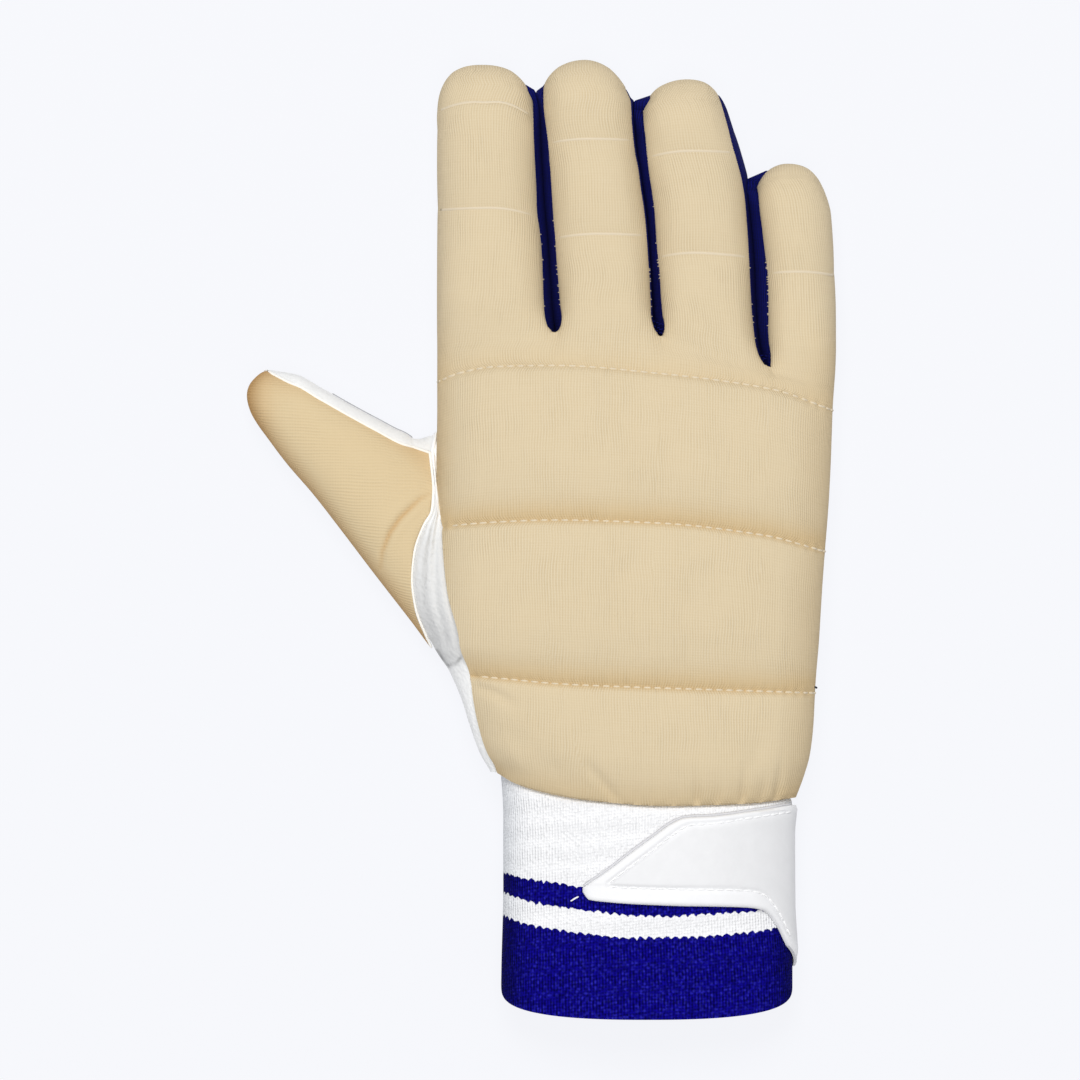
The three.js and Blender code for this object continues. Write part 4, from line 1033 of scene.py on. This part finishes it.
# Frayed fibres along both cut edges. Those that come out white lie within this length of the parting.
TUFT_STEP = 0.34
SPECK_LENGTH = 40
navy_knit = knit_material("navy_knit", (0.003, 0.0045, 0.085), 0.9, 0.9, 0.12, 0.5)
chance = np.random.default_rng(7)
tufts, specks = [], []
for second in (1, 2, 3):
    rings = fourchette_rings(second)
    outer = np.array([ring[0] for ring in rings])
    inner = np.array([ring[1] for ring in rings])
    name = "fourchette_%s_%s" % (FINGERS[second - 1]["name"], FINGERS[second]["name"])
    mesh = wall_mesh(name + "_knit", [(outer, inner, arc_lengths(outer))])
    strip = add_piece(name + "_knit", mesh, name, navy_knit)
    for edge, way in ((rings[: len(rings) // 2], -1), (rings[len(rings) // 2 + 1 :], 1)):
        edge_line = np.array([ring[0][0] for ring in edge])
        edge_line = edge_line[np.argsort(edge_line[:, 1])]
        for y in np.arange(edge_line[0, 1] + 1, edge_line[-1, 1] - 4, TUFT_STEP):
            x, z = np.interp(y, edge_line[:, 1], edge_line[:, 0]), np.interp(y, edge_line[:, 1], edge_line[:, 2])
            low_down = (y - edge_line[0, 1]) / SPECK_LENGTH
            reach = chance.uniform(0.1, 0.45)
            start = np.array([x - way * 0.25, y, z + 0.3])
            end = start + (way * (0.25 + reach), chance.uniform(-0.25, 0.25), 0.35)
            white = y > edge_line[0, 1] + 6 and chance.random() < 0.16 * max(0, 1 - low_down)
            (specks if white else tufts).append(np.array([start, (start + end) / 2 + (0, 0, 0.1), end]))

add_threads("slit_tufts", tufts, 0.14, navy_knit, sides=5)
add_threads("slit_specks", specks, 0.13, cream_thread, sides=5)


# Thumb front
# The thumb's beige face, the same rib knit as the back over thinner foam, with its wales across the
# thumb. It creases where the thumb opens from the hand.

# The thumb at seven stations from its root to its tip: its far and near edge in plan, its crown, the height
# of its widest line, and how wide its white edging is.
THUMB = np.array(
    [
        (-30, 28.6, -30.2, -30.5, 19, 8.5, 4.1),
        (-38, 30.2, -38, -20.4, 20.5, 8.5, 3.6),
        (-45.6, 33.9, -47, -8.8, 21, 8.5, 3.4),
        (-53.4, 38.1, -55.5, 2.4, 20.7, 8.5, 3.3),
        (-61.1, 42.5, -63.5, 12.7, 19.8, 8.3, 3.3),
        (-68.2, 46.3, -71, 21.4, 18.4, 8, 3),
        (-75, 47.5, -77.4, 29.9, 16.8, 7.6, 1),
    ],
    dtype=[(name, float) for name in ("far_x", "far_y", "near_x", "near_y", "crown", "middle", "edging")],
)
# The seam between its beige face and the gusset, from the web down.
THUMB_ROOT = np.array(
    [
        (-30.9, 24.5, 14.6),
        (-29.9, 14.5, 17.6),
        (-30.3, 8.4, 18.8),
        (-32.6, 4, 19.2),
        (-35.2, -3.5, 19),
        (-35.9, -11, 18.2),
        (-34.9, -19, 16),
        (-32.4, -25.8, 12.4),
        (-30.5, -30, 9.4),
    ],
    dtype=[(name, float) for name in ("x", "y", "z")],
)
# Its surface starts at the first of these stations, and its round tip at the last.
THUMB_SPAN = (0.7, 6)
# How far the round tip reaches: on its near side where it starts and where it ends, and on its far side.
THUMB_TIP = {"x": (-4.3, -5.6, -6.2), "y": (5.7, 4.4, 0.8)}
THUMB_WALL = 2.2
THUMB_POWER = 2.2
thumb = {name: curve(range(len(THUMB)), THUMB[name]) for name in THUMB.dtype.names}
root = {name: curve(range(len(THUMB_ROOT)), THUMB_ROOT[name]) for name in THUMB_ROOT.dtype.names}


def web_dip(station):
    """How far the thumb's far edge dips beside the hand."""
    return 1.2 * max(0, 1 - (station - THUMB_SPAN[0]) / 0.45) ** 2


def thumb_skin(turn, station):
    """The thumb's surface: turn 0 is its far edge, and 180 its near edge, over the top."""
    straight, tip = min(station, THUMB_SPAN[1]), max(station - THUMB_SPAN[1], 0)
    far = np.array([thumb["far_x"](straight), thumb["far_y"](straight) - web_dip(straight), 0])
    near = np.array([thumb["near_x"](straight), thumb["near_y"](straight), 0])
    centre, half = (far + near) / 2, (far - near) / 2
    middle = thumb["middle"](straight)
    across, up = around(turn, THUMB_POWER)
    at = centre + half * (across * math.sqrt(1 - tip * tip / 2))[:, None]
    forward = tip * np.sqrt(1 - across**2 / 2)
    for axis, (near_start, near_end, far_side) in enumerate(THUMB_TIP.values()):
        at[:, axis] += forward * mix(mix(near_start, near_end, tip), far_side, (across + 1) / 2)
    at[:, 2] = height(turn, up * math.sqrt(max(0, 1 - tip * tip)), thumb["crown"](straight), middle)
    reach = max(0, 1 - middle / np.linalg.norm(half))
    core = centre + half * np.clip(across, -reach, reach)[:, None]
    core[:, 2] = core_height(turn, middle)
    return at, core


def edging_turn(station):
    """The turn at which the thumb's white edging ends and its beige face begins."""
    straight, tip = min(station, THUMB_SPAN[1]), max(station - THUMB_SPAN[1], 0)
    width = math.hypot(*(thumb["far_" + axis](straight) - thumb["near_" + axis](straight) for axis in "xy"))
    edging = thumb["edging"](straight) - web_dip(straight)
    return float(turn_at(1 - edging / (width / 2), THUMB_POWER)) * max(0, 1 - tip * 2)


# It is built in rows: a few between its root and its first station, then along it and over its tip.
THUMB_STATIONS = [
    *np.linspace(*THUMB_SPAN, 80)[:-1],
    *(THUMB_SPAN[1] + np.sin(np.linspace(0, math.pi / 2, 18))),
]
THUMB_COLUMNS = 90
ROOT_STEPS = 8
share = np.linspace(0, 1, THUMB_COLUMNS + 1)
border = np.stack([root[name](share * (len(THUMB_ROOT) - 1)) for name in "xyz"], -1) - (GAP, 0, 0)
first_at, first_core = thumb_skin(mix(edging_turn(THUMB_SPAN[0]), 180, share), THUMB_SPAN[0])
under_seam = np.array([[0.2, 0, -THUMB_WALL]])
thumb_outer, thumb_inner = [], []
for step in np.linspace(0, 1, ROOT_STEPS + 1)[:-1]:
    at = mix(border, first_at, step)
    at[:, 2] += 1.1 * np.sin(math.pi * step) * np.sin(math.pi * share)
    thumb_outer.append(at)
    thumb_inner.append(at + mix(under_seam, inwards(first_at, first_core) * THUMB_WALL, step))
for station in THUMB_STATIONS:
    at, core = thumb_skin(mix(edging_turn(station), 180, share), station)
    thumb_outer.append(at)
    thumb_inner.append(at + inwards(at, core) * THUMB_WALL)
thumb_outer, thumb_inner = np.array(thumb_outer), np.array(thumb_inner)
soften(thumb_outer, 2, ROOT_STEPS + 12)

# The crease is a narrow groove between two low ridges.
CREASE = ((-30.9, 12.9), (-33.6, 11.4), (-36, 9.1), (-39.2, 6), (-42, 2), (-44.2, -3.5), (-44.6, -7.6))
away, share = distance_to(thumb_outer, CREASE)
groove = bell(away, 0.75) * 0.75 - bell(away - 2, 1.2) * 0.25
thumb_outer[..., 2] -= groove * (run_out(share, 0.03) * (thumb_outer[..., 2] > 12))
thumb_uv = arc_lengths(thumb_outer)
thumb_uv[..., 0] -= thumb_outer[:, THUMB_COLUMNS // 2, 1][:, None]
thumb_uv[..., 1] = thumb_outer[..., 0]
mesh = wall_mesh("thumb_face", [(thumb_outer, thumb_inner, thumb_uv)])

# Painted shade: the knit is darker and warmer in the crease, down the low near side and towards the tip.
places = places_of(mesh)
x, _, z = places.T
away, share = distance_to(places, CREASE)
painted_shade = 0.65 * bell(away, 0.55) * run_out(share, 0.03)
painted_shade += np.clip(1 - (z - 8.5) / 9.5, 0, 1) + 0.3 * np.clip((-74 - x) / 6, 0, 1)
keep_on(mesh, "painted_shade", np.clip(painted_shade, 0, 1))
# Its colour is a darker, warmer copy of the back's beige knit: painted shade on the lower, less lit thumb.
thumb_beige = knit_material(
    "thumb_beige", (0.63, 0.5, 0.305), 0.9, 0.75, 0.07, 0.06, shade_tint=(0.79, 0.59, 0.38)
)
thumb_piece = add_piece("thumb_face", mesh, "thumb_front", thumb_beige)

# The folded edge of the white leather shows as a cream piping round the beige face, up to its tip.
far_edge = thumb_outer[ROOT_STEPS:-12, 0] + (0, 0, 0.1)
piping_paths = [border[::-1] + (GAP, 0, 0.1), np.concatenate([border[:1] + (0, 0, 0.1), far_edge])]
cream_piping = plain_material("cream_piping", (0.93, 0.9, 0.84), 0.6)
add_threads("thumb_piping", piping_paths, 0.35, cream_piping)


# Thumb back
# The thumb's white far side, soft leather as on the palm. It comes up round the far edge and shows from
# above as a white edging.

# The first fifth of its edge at the hand comes down the web, from the beige face to the palm, with its wall
# set in towards the wrist. The rest runs on along the palm's edge, with its wall set in upwards.
WEB_SHARE = 0.2
share = np.linspace(0, 1, THUMB_COLUMNS + 1)
on_web = (share < WEB_SHARE)[:, None]
climb = 1 - share / WEB_SHARE
web_at = np.stack([-29.2 - GAP - climb * 0.8, mix(29.3, 25, climb), mix(9.6, 14.1, climb)], -1)
y = mix(30, -30.2, (np.maximum(share - WEB_SHARE, 0) / (1 - WEB_SHARE)) ** 0.9)
palm_at = hand_skin(180 + palm_edge_dip(y), lambda _: y)[0]
palm_at[:, 0] -= GAP * 1.6
palm_at[:, 2] = np.maximum(0, palm_at[:, 2] - np.where(y < -26, 0.6, 0))
first_row = np.where(on_web, web_at, palm_at)
inward = np.stack([0 * y, np.where(y > 24, -0.8, np.where(y < -22, 0.8, 0)), 0 * y + 1], -1)
inward = np.where(on_web, (-0.3, -1, -0.2), inward)
inward /= np.linalg.norm(inward, axis=1, keepdims=True)
under_outer, under_inner = [], []
under_turns = mix(edging_turn(THUMB_SPAN[0]), SEAM_STEP - 180, share)
first_at, first_core = thumb_skin(under_turns, THUMB_SPAN[0])
for step in np.linspace(0, 1, ROOT_STEPS + 1)[:-1]:
    at = mix(first_row, first_at, step)
    under_outer.append(at)
    under_inner.append(at + mix(inward, inwards(first_at, first_core), step) * PALM_WALL)
for station in THUMB_STATIONS:
    at, core = thumb_skin(mix(edging_turn(station), SEAM_STEP - 180, share), station)
    inner = at + inwards(at, core) * PALM_WALL
    at[0, 2] -= GAP
    inner[0, 2] -= GAP
    under_outer.append(at)
    under_inner.append(inner)
under_outer, under_inner = np.array(under_outer), np.array(under_inner)
mesh = wall_mesh("thumb_far_side", [(under_outer, under_inner, arc_lengths(under_outer))])
far_side = add_piece("thumb_far_side", mesh, "thumb_back", white_leather)

# A thin grey tube along the far edge, beside the white edging: painted shade where the leather turns under.
edge_line = [thumb_skin(np.array([-4.0]), station)[0][0] for station in np.linspace(0.75, 3.6, 40)]
far_edge_shade_grey = plain_material("far_edge_shade_grey", (0.4, 0.4, 0.43), 0.8)
add_threads("thumb_far_edge_shade", [edge_line], 0.3, far_edge_shade_grey)


# Thumb gusset
# A white strip of soft leather between the padded back and the thumb's face, gathered into upright
# folds, running on down the side of the hand to the wrist. In front of the thumb it closes the last of the
# parting between back and palm.

GUSSET_WALL = 1.4
GUSSET_COLUMNS = 24
# It runs between these y. Over the web's two y its lower edge leaves the thumb, and then joins the palm.
GUSSET_ENDS = (34.5, -65)
GUSSET_ROWS = 167
WEB = (25, 30)
# It is gathered from here down to where the seam with the thumb ends.
GATHERED_FROM = 12
THUMB_SEAM_END = -31.5
border_x = curve(-THUMB_ROOT["y"], THUMB_ROOT["x"])
border_z = curve(-THUMB_ROOT["y"], THUMB_ROOT["z"])


def on_hand(turn, y):
    """A point of the hand's surface, level with y, and the core that its wall faces."""
    at, core, _ = hand_skin(np.array([float(turn)]), lambda at: y + 0 * at)
    return at[0], core[0]


gusset_outer, gusset_inner = [], []
share = np.linspace(0, 1, GUSSET_COLUMNS + 1)[:, None]
for y in np.linspace(*GUSSET_ENDS, GUSSET_ROWS):
    back_edge, core = on_hand(back_hand_turn(0, 0.0, lambda _: y), y)
    upper = back_edge - (0, 0, GAP * 0.3)
    side, _ = on_hand(180 + TUCK, y)
    on_thumb = min(max((y - THUMB_SEAM_END) / 4, 0), 1)
    beyond = min(max(0, y - WEB[0]), WEB[1] - WEB[0])
    thumb_side = np.array([border_x(-y) + GAP + beyond * 0.15, y, border_z(-y) - beyond])
    lower = mix(side + (0, 0, GAP * 1.5), thumb_side, on_thumb)
    in_front = min(max(y - WEB[1], 0), 1)
    palm_edge, _ = on_hand(180 + palm_edge_dip(y), y)
    lower = mix(lower, palm_edge + (0, 0, GAP * 0.5), in_front)
    at = mix(upper, lower, share)
    full = 1.2 * np.sin(math.pi * share[:, 0]) * (1 - in_front)
    at[:, 2] += full
    at[:, 0] -= full * (1 - on_thumb)
    fold = 0.4 * np.sin(math.pi * (share[:, 0] * 5 + 0.03 * y)) * np.sin(math.pi * share[:, 0])
    at[:, 2] += fold * on_thumb * min(1, max(0, (GATHERED_FROM - y) / 8))
    gusset_outer.append(at)
    gusset_inner.append(at + inwards(at, core) * GUSSET_WALL)
gusset_outer, gusset_inner = np.array(gusset_outer), np.array(gusset_inner)
mesh = wall_mesh("thumb_gusset_leather", [(gusset_outer, gusset_inner, arc_lengths(gusset_outer))])

# It is greyer beside the lower half of the thumb, and painted shade darkens two small folds where it
# begins.
DARK_FOLDS = (
    ((-28.8, -30.8), (-27.2, -33.4), (-25.4, -35.6)),
    ((-25.6, -35), (-23.6, -34.6), (-22.2, -33)),
)
places = places_of(mesh)
y = places[:, 1]
greying = np.clip((14 - y) / 14, 0, 1) * np.clip((y + 36) / 3, 0, 1)
uneven = np.array([noise.noise(Vector(place) * 0.9 + Vector((3, 5.1, 0))) for place in places])
for path in DARK_FOLDS:
    greying += (1.3 + 0.9 * uneven) * bell(distance_to(places, path)[0], 0.4)
keep_on(mesh, "greying", greying)
gusset_leather = leather_material("gusset_leather", (0.93, 0.93, 0.92), 0.9, 0.22, 0.75, greying=0.27)
gusset = add_piece("thumb_gusset_leather", mesh, "thumb_gusset", gusset_leather)


# Cuff
# An elastic tube of coarse rib knit, sewn on at the wrist: white, with a navy stripe and a navy lower
# band. The colours meet in loops of the knit, so their edges are scalloped.

# Its edges and crown from the wrist, 0, to the hem, 1.
CUFF = {
    "along": (0, 0.2, 0.55, 0.9, 1),
    "left": (-11, -10.3, -10.3, -10.8, -10.9),
    "right": (70.7, 69.7, 69.8, 70.7, 70.7),
    "crown": (28, 28, 27.6, 27.4, 27.2),
}
CUFF_MIDDLE = 12.6
CUFF_WALL = 2.6
# The hem lies at y at its two sides. In the middle it is lower by dip on top, and by under_dip below.
HEM = {"y": -124.2, "dip": 10, "under_dip": -2, "roundness": 0.6}
# How far it is tucked in under back and palm at its first row, before the seam, and over which share of its
# length that fades. At the thumb's side it comes out instead, to the gusset.
CUFF_TUCK = {"all_round": 2.2, "thumb_side": -4, "side_width": 35, "first": -0.03, "fade": 0.025}
# The borders of the stripe and the lower band, in plan.
STRIPES = {
    "x": (-10.1, -3.6, 6.1, 15.7, 25.4, 35, 44.7, 54.3, 62, 69),
    "stripe_top": (-93.4, -95, -96.3, -97.8, -98.6, -98.8, -98.4, -97.8, -96.9, -95),
    "stripe_bottom": (-98.8, -101.1, -102.8, -104, -105.2, -105.4, -104.8, -104.4, -103.7, -102),
    "band_top": (-105.3, -107.7, -109.3, -110.6, -111.4, -111.3, -111.1, -110.3, -109.4, -108),
}
# How wide the loops are in which the borders run.
STRIPE_LOOP = 2.4
cuff_left, cuff_right, cuff_crown = (
    curve(CUFF["along"], CUFF[name]) for name in ("left", "right", "crown")
)


def wrist_seam(turn):
    share = (around(turn, HAND_POWER)[0] + 1) / 2
    return np.where(np.sin(np.radians(turn)) >= 0, lines["wrist"](share), palm_wrist(share))


def hem_line(turn):
    up = np.sin(np.radians(turn))
    return HEM["y"] - np.where(up >= 0, HEM["dip"], HEM["under_dip"]) * np.abs(up) ** HEM["roundness"]


def cuff_skin(turn, along):
    across, up = around(turn, HAND_POWER)
    centre = (cuff_left(along) + cuff_right(along)) / 2
    half = (cuff_right(along) - cuff_left(along)) / 2
    x = centre + half * across
    y = mix(wrist_seam(turn) - GAP * 1.2, hem_line(turn), along)
    under = np.maximum(0, CUFF_MIDDLE + (CUFF_MIDDLE + FLATTENING) * up)
    z = np.where(up >= 0, CUFF_MIDDLE + (cuff_crown(along) - CUFF_MIDDLE) * up, under)
    reach = half - CUFF_MIDDLE
    core = np.stack([np.clip(x, centre - reach, centre + reach), y, CUFF_MIDDLE + 0 * x], -1)
    return np.stack([x, y, z], -1), core


CUFF_COLUMNS = 220
CUFF_ROWS = [CUFF_TUCK["first"], -0.012, 0, 0.012, 0.026, 0.04, 0.06, *np.linspace(0.08, 1, 56)]
turns = 180 - 360 * np.arange(CUFF_COLUMNS + 1) / CUFF_COLUMNS
turns[-1] = 180
tucked = np.full(len(turns), CUFF_TUCK["all_round"])
for thumb_side in (180, -180):
    tucked += CUFF_TUCK["thumb_side"] * bell(turns - thumb_side, CUFF_TUCK["side_width"])
cuff_outer, cuff_inner = [], []
for along in CUFF_ROWS:
    at, core = cuff_skin(turns, along)
    fading = math.exp(-(((along - CUFF_TUCK["first"]) / CUFF_TUCK["fade"]) ** 2))
    at = at + inwards(at, core) * tucked[:, None] * fading
    cuff_outer.append(at)
    cuff_inner.append(at + inwards(at, core) * CUFF_WALL)
cuff_outer, cuff_inner = np.array(cuff_outer), np.array(cuff_inner)

# Its wales run straight down, so one row half way down measures them for all rows.
MEASURED_ROW = 30
cuff_uv = arc_lengths(cuff_outer)
cuff_uv[..., 0] = cuff_uv[MEASURED_ROW, :, 0]
cuff_uv[..., 1] = -cuff_outer[..., 1]
cuff_mesh = wall_mesh("knit_cuff", [(cuff_outer, cuff_inner, cuff_uv)])

# How far each point lies below each border, and painted shade at the two sides, where the cuff turns away
# from the light and both colours are darkened.
x, y, _ = places_of(cuff_mesh).T
for name in ("stripe_top", "stripe_bottom", "band_top"):
    keep_on(cuff_mesh, name, curve(STRIPES["x"], STRIPES[name])(x) - y)
keep_on(cuff_mesh, "side_shade", 0.8 * bell(x + 10.5, 5) + 0.7 * bell(x - 70.5, 5))


def bumpy_knit_group():
    """Coarse elastic knit: irregular small bumps, brighter on top, of a size in millimetres."""
    tree, given = new_group("bumpy_knit", {"Size": 1.2, "Depth": 0.2, "Shade": 0.1})
    per_bump = result_of(tree, "DIVIDE", 1.0, given["Size"])
    scaled = vector_of(tree, "SCALE", {0: given["Place"], "Scale": per_bump})
    slanted = add_node(tree, "ShaderNodeMapping", {0: scaled, "Rotation": (0, 0, 0.12)}).outputs[0]
    grain = {"Vector": slanted, "Scale": 1.0, "Randomness": 0.4}
    cells = add_node(tree, "ShaderNodeTexVoronoi", grain, feature="SMOOTH_F1")
    bumps = result_of(tree, "SUBTRACT", 0.75, cells.outputs["Distance"])
    finer = result_of(tree, "MULTIPLY_ADD", noise_of(tree, given["Place"], 0.5, 3), 0.2, bumps)
    across = add_node(tree, "ShaderNodeSeparateXYZ", {0: scaled}).outputs[0]
    wale = result_of(tree, "COSINE", result_of(tree, "MULTIPLY", across, 2 * math.pi))
    relief = result_of(tree, "MULTIPLY_ADD", wale, 0.12, finer)

    # Painted light and shade: the bumps' tops are lighter and the hollows between them darker.
    above = result_of(tree, "SUBTRACT", relief, 0.5)
    lightness = result_of(tree, "MULTIPLY_ADD", above, given["Shade"], 1.0)
    lightness = result_of(tree, "MAXIMUM", lightness, 0.3)
    tint = vector_of(tree, "SCALE", {0: given["Colour"], "Scale": lightness})
    return end_group(tree, given, relief, tint)


BUMPY_KNIT = bumpy_knit_group()


def cuff_material():
    material, tree, shader = new_material("cuff_knit")
    uv = add_node(tree, "ShaderNodeUVMap", uv_map="knit").outputs[0]
    across = add_node(tree, "ShaderNodeSeparateXYZ", {0: uv}).outputs[0]

    # Navy below a border, and white again below the stripe. The borders run in ragged loops.
    loop = result_of(tree, "SINE", result_of(tree, "MULTIPLY", across, math.pi / STRIPE_LOOP))
    ragged = result_of(tree, "MULTIPLY_ADD", noise_of(tree, uv, 0.7, 2), 1.5, -1.05)
    scallop = result_of(tree, "MULTIPLY_ADD", result_of(tree, "ABSOLUTE", loop), 0.65, ragged)
    masks = {}
    for name in ("stripe_top", "stripe_bottom", "band_top"):
        below = add_node(tree, "ShaderNodeAttribute", attribute_name=name).outputs["Fac"]
        edge = result_of(tree, "ADD", below, scallop)
        masks[name] = ramp(tree, edge, -0.12, 0.12, kind="SMOOTHSTEP")
    stripe = result_of(tree, "SUBTRACT", masks["stripe_top"], masks["stripe_bottom"])
    navy = result_of(tree, "ADD", stripe, masks["band_top"])

    # The navy has small brighter specks, and painted shade darkens both colours where the cuff turns away.
    spots = {"Vector": uv, "Scale": 0.9, "Randomness": 0.7}
    apart = add_node(tree, "ShaderNodeTexVoronoi", spots).outputs["Distance"]
    side_shade = add_node(tree, "ShaderNodeAttribute", attribute_name="side_shade").outputs["Fac"]
    speck = ramp(tree, apart, 0.55, 0.1, 0, 0.4)
    blue = blend(tree, speck, (0.003, 0.0015, 0.17, 1), (0.035, 0.035, 0.5, 1))
    dark_blue = blend(tree, side_shade, blue, (0.001, 0.001, 0.05, 1))
    white = blend(tree, side_shade, (0.85, 0.85, 0.86, 1), (0.7, 0.72, 0.75, 1))
    colour = blend(tree, navy, white, dark_blue)
    shade = result_of(tree, "MULTIPLY_ADD", navy, 2.2, 0.3)
    cover(tree, shader, BUMPY_KNIT, {"Colour": colour, "Size": 0.85, "Depth": 0.5, "Shade": shade})
    shader.inputs["Roughness"].default_value = 0.95
    shader.inputs["Specular IOR Level"].default_value = 0.04
    return material


cuff_piece = add_piece("knit_cuff", cuff_mesh, "cuff", cuff_material())


# Closure strap
# A strap of smooth white synthetic leather across the cuff, pointed at its free end, sewn down at the
# little-finger side. A line of stitches runs inside its edge, which is pressed thinner.

# Its two edges in plan. Past the last x it goes on round the little-finger side, to the turn of its end.
STRAP = {
    "x": (11.9, 13.6, 19, 25.4, 31.8, 37, 40.6, 48, 57.5, 62, 65.5, 68),
    "upper": (-97.3, -96.1, -92.4, -87.5, -82.8, -79, -77.6, -77.2, -76, -75.3, -74.7, -74.3),
    "lower": (
        -98.4, -100.6, -101.3, -101.8, -102.1, -102.3, -102.4, -102.5, -102.8, -103.6, -107.6, -113.5,
    ),
}
STRAP_END = {"turn": -28, "upper": -74.3, "lower": -119.4}
STRAP_ROWS = 40
# Its columns over the top and round the side.
STRAP_COLUMNS = (70, 25)
# How far down the cuff it lies.
STRAP_ALONG = 0.4
# Its wall up to the first of these columns and at the last.
STRAP_WALLS = {"columns": (58, 94), "walls": (1.9, 1.0)}
centre = (cuff_left(STRAP_ALONG) + cuff_right(STRAP_ALONG)) / 2
half = (cuff_right(STRAP_ALONG) - cuff_left(STRAP_ALONG)) / 2
xs = np.linspace(STRAP["x"][0], STRAP["x"][-1], STRAP_COLUMNS[0])
turns = turn_at((xs - centre) / half, HAND_POWER)
upper, lower = curve(STRAP["x"], STRAP["upper"])(xs), curve(STRAP["x"], STRAP["lower"])(xs)
step = np.linspace(0, 1, STRAP_COLUMNS[1])[1:]
turns = np.concatenate([turns, mix(turns[-1], STRAP_END["turn"], step)])
upper = np.concatenate([upper, mix(upper[-1], STRAP_END["upper"], step)])
lower = np.concatenate([lower, mix(lower[-1], STRAP_END["lower"], np.minimum(1, step * 1.8))])
strap_outer, strap_inner = [], []
walls = np.interp(np.arange(len(turns)), STRAP_WALLS["columns"], STRAP_WALLS["walls"])
over_top = turns > 12
for turn, top, bottom, wall in zip(turns, upper, lower, walls):
    y = mix(top, bottom, np.linspace(0, 1, STRAP_ROWS + 1))
    start = wrist_seam(turn) - GAP * 1.2
    along = (y - start) / (hem_line(turn) - start)
    at, core = cuff_skin(turn + 0 * along, along)
    away = -inwards(at, core)
    strap_outer.append(at + away * (GAP + wall))
    strap_inner.append(at + away * GAP)
strap_outer, strap_inner = np.array(strap_outer), np.array(strap_inner)
outline = np.concatenate([strap_outer[::-1, 0], strap_outer[0], strap_outer[:, -1]])
inside, _ = distance_to(strap_outer, outline[:, :2])

# Where the stitches run: how far they lie from the upper and lower edge along the strap. They leave out
# the point, where the strap is narrower than this.
INSETS = {
    "x": (14, 30, 37, 42, 55, 62, 68, 72),
    "upper": (3.6, 3.7, 3.6, 2.2, 2.0, 1.8, 1.8, 1.8),
    "lower": (4.4, 4.6, 4.7, 4.7, 4.8, 4.6, 3.2, 2.6),
}
NARROWEST_SEWN = 9
seam_lines = []
for edge, way in (("upper", 1), ("lower", -1)):
    line = []
    for row in strap_outer[over_top]:
        gone = lengths_along(row[::way])
        inset = np.interp(row[0, 0], INSETS["x"], INSETS[edge])
        if gone[-1] > NARROWEST_SEWN:
            line.append([np.interp(inset, gone, row[::way, i]) for i in range(3)])
    seam_lines.append(np.array(line))

# It is rounded down at its outline, and pressed in where the stitches run.
raised = np.interp(inside, [0, 0.3, 0.9], [-0.6, -0.15, 0])
for line in seam_lines:
    raised -= 0.5 * bell(distance_to(strap_outer, line[:, :2])[0], 0.55)
strap_outer += -inwards(strap_outer, strap_inner) * raised[..., None]
mesh = wall_mesh("strap_sheet", [(strap_outer, strap_inner, arc_lengths(strap_outer))])

# Between the two lines of stitches it is a little greyer.
x, y, _ = places_of(mesh).T
upper, lower = (np.interp(x, line[:, 0], line[:, 1]) for line in seam_lines)
keep_on(mesh, "greying", np.clip((upper - y) / 0.6, 0, 1) * np.clip((y - lower) / 0.6, 0, 1))
strap_synthetic = leather_material("strap_synthetic", (0.79, 0.79, 0.8), 1.2, 0.03, 0.45, greying=0.09)
strap = add_piece("strap_sheet", mesh, "closure_strap", strap_synthetic)

# White thread inside the edge, and a loose end of it by the strap's point.
seams = []
for line in seam_lines:
    seams += stitches_along(line - (0, 0, 0.4), 2.7, 1.9, 0.12, start=0.5)
seams.append(np.array([(8.7, -100.9, 28.3), (9.6, -100.3, 28.7), (10.6, -99.8, 28.4)]))
white_thread = plain_material("white_thread", (0.88, 0.88, 0.88), 0.6)
add_threads("strap_thread", seams, 0.22, white_thread)

# A grey tube along the strap's upper edge: painted shade where the edge stands off the cuff.
edge_shade_path = strap_inner[over_top][1:, 0] + (-0.15, 0.25, 0.3)
edge_shade_grey = plain_material("edge_shade_grey", (0.6, 0.6, 0.62), 0.9)
add_threads("strap_edge_shade", [edge_shade_path], 0.4, edge_shade_grey)


# Floor, light and camera
# A pale floor with soft light from all sides and a little more from beyond the fingertips. The camera
# looks straight down with a long lens, as the photograph does.

bpy.ops.mesh.primitive_circle_add(vertices=64, radius=6, fill_type="NGON", location=(0, 0, 0))
floor = bpy.context.active_object
floor.name = "floor"
floor_material, _, shader = new_material("floor")
shader.inputs["Base Color"].default_value = (0.06, 0.06, 0.06, 1)
shader.inputs["Roughness"].default_value = 1
shader.inputs["Specular IOR Level"].default_value = 0
shader.inputs["Emission Color"].default_value = (0.97, 0.98, 1.02, 1)
shader.inputs["Emission Strength"].default_value = 0.885
floor.data.materials.append(floor_material)

world = bpy.data.worlds.new("soft_room")
world.use_nodes = True
world.node_tree.nodes["Background"].inputs["Color"].default_value = (0.97, 0.98, 1, 1)
world.node_tree.nodes["Background"].inputs["Strength"].default_value = 0.4
bpy.context.scene.world = world

for name, place, size, power in (
    ("key_light", (-0.12, 1.0, 2.35), 1.0, 38),
    ("fill_light", (0.05, -0.5, 2.7), 1.2, 24),
):
    light = bpy.data.lights.new(name, "AREA")
    light.size = size
    light.energy = power
    lamp = bpy.data.objects.new(name, light)
    lamp.location = place
    lamp.rotation_euler = (-Vector(place)).to_track_quat("-Z", "Y").to_euler()
    bpy.context.scene.collection.objects.link(lamp)

lens = bpy.data.cameras.new("camera")
lens.lens = 900
lens.sensor_width = 36
lens.clip_end = 20
camera = bpy.data.objects.new("camera", lens)
camera.location = (-0.0002, -0.0002, 7.574)
bpy.context.scene.collection.objects.link(camera)
bpy.context.scene.camera = camera
bpy.context.scene.view_settings.view_transform = "Standard"
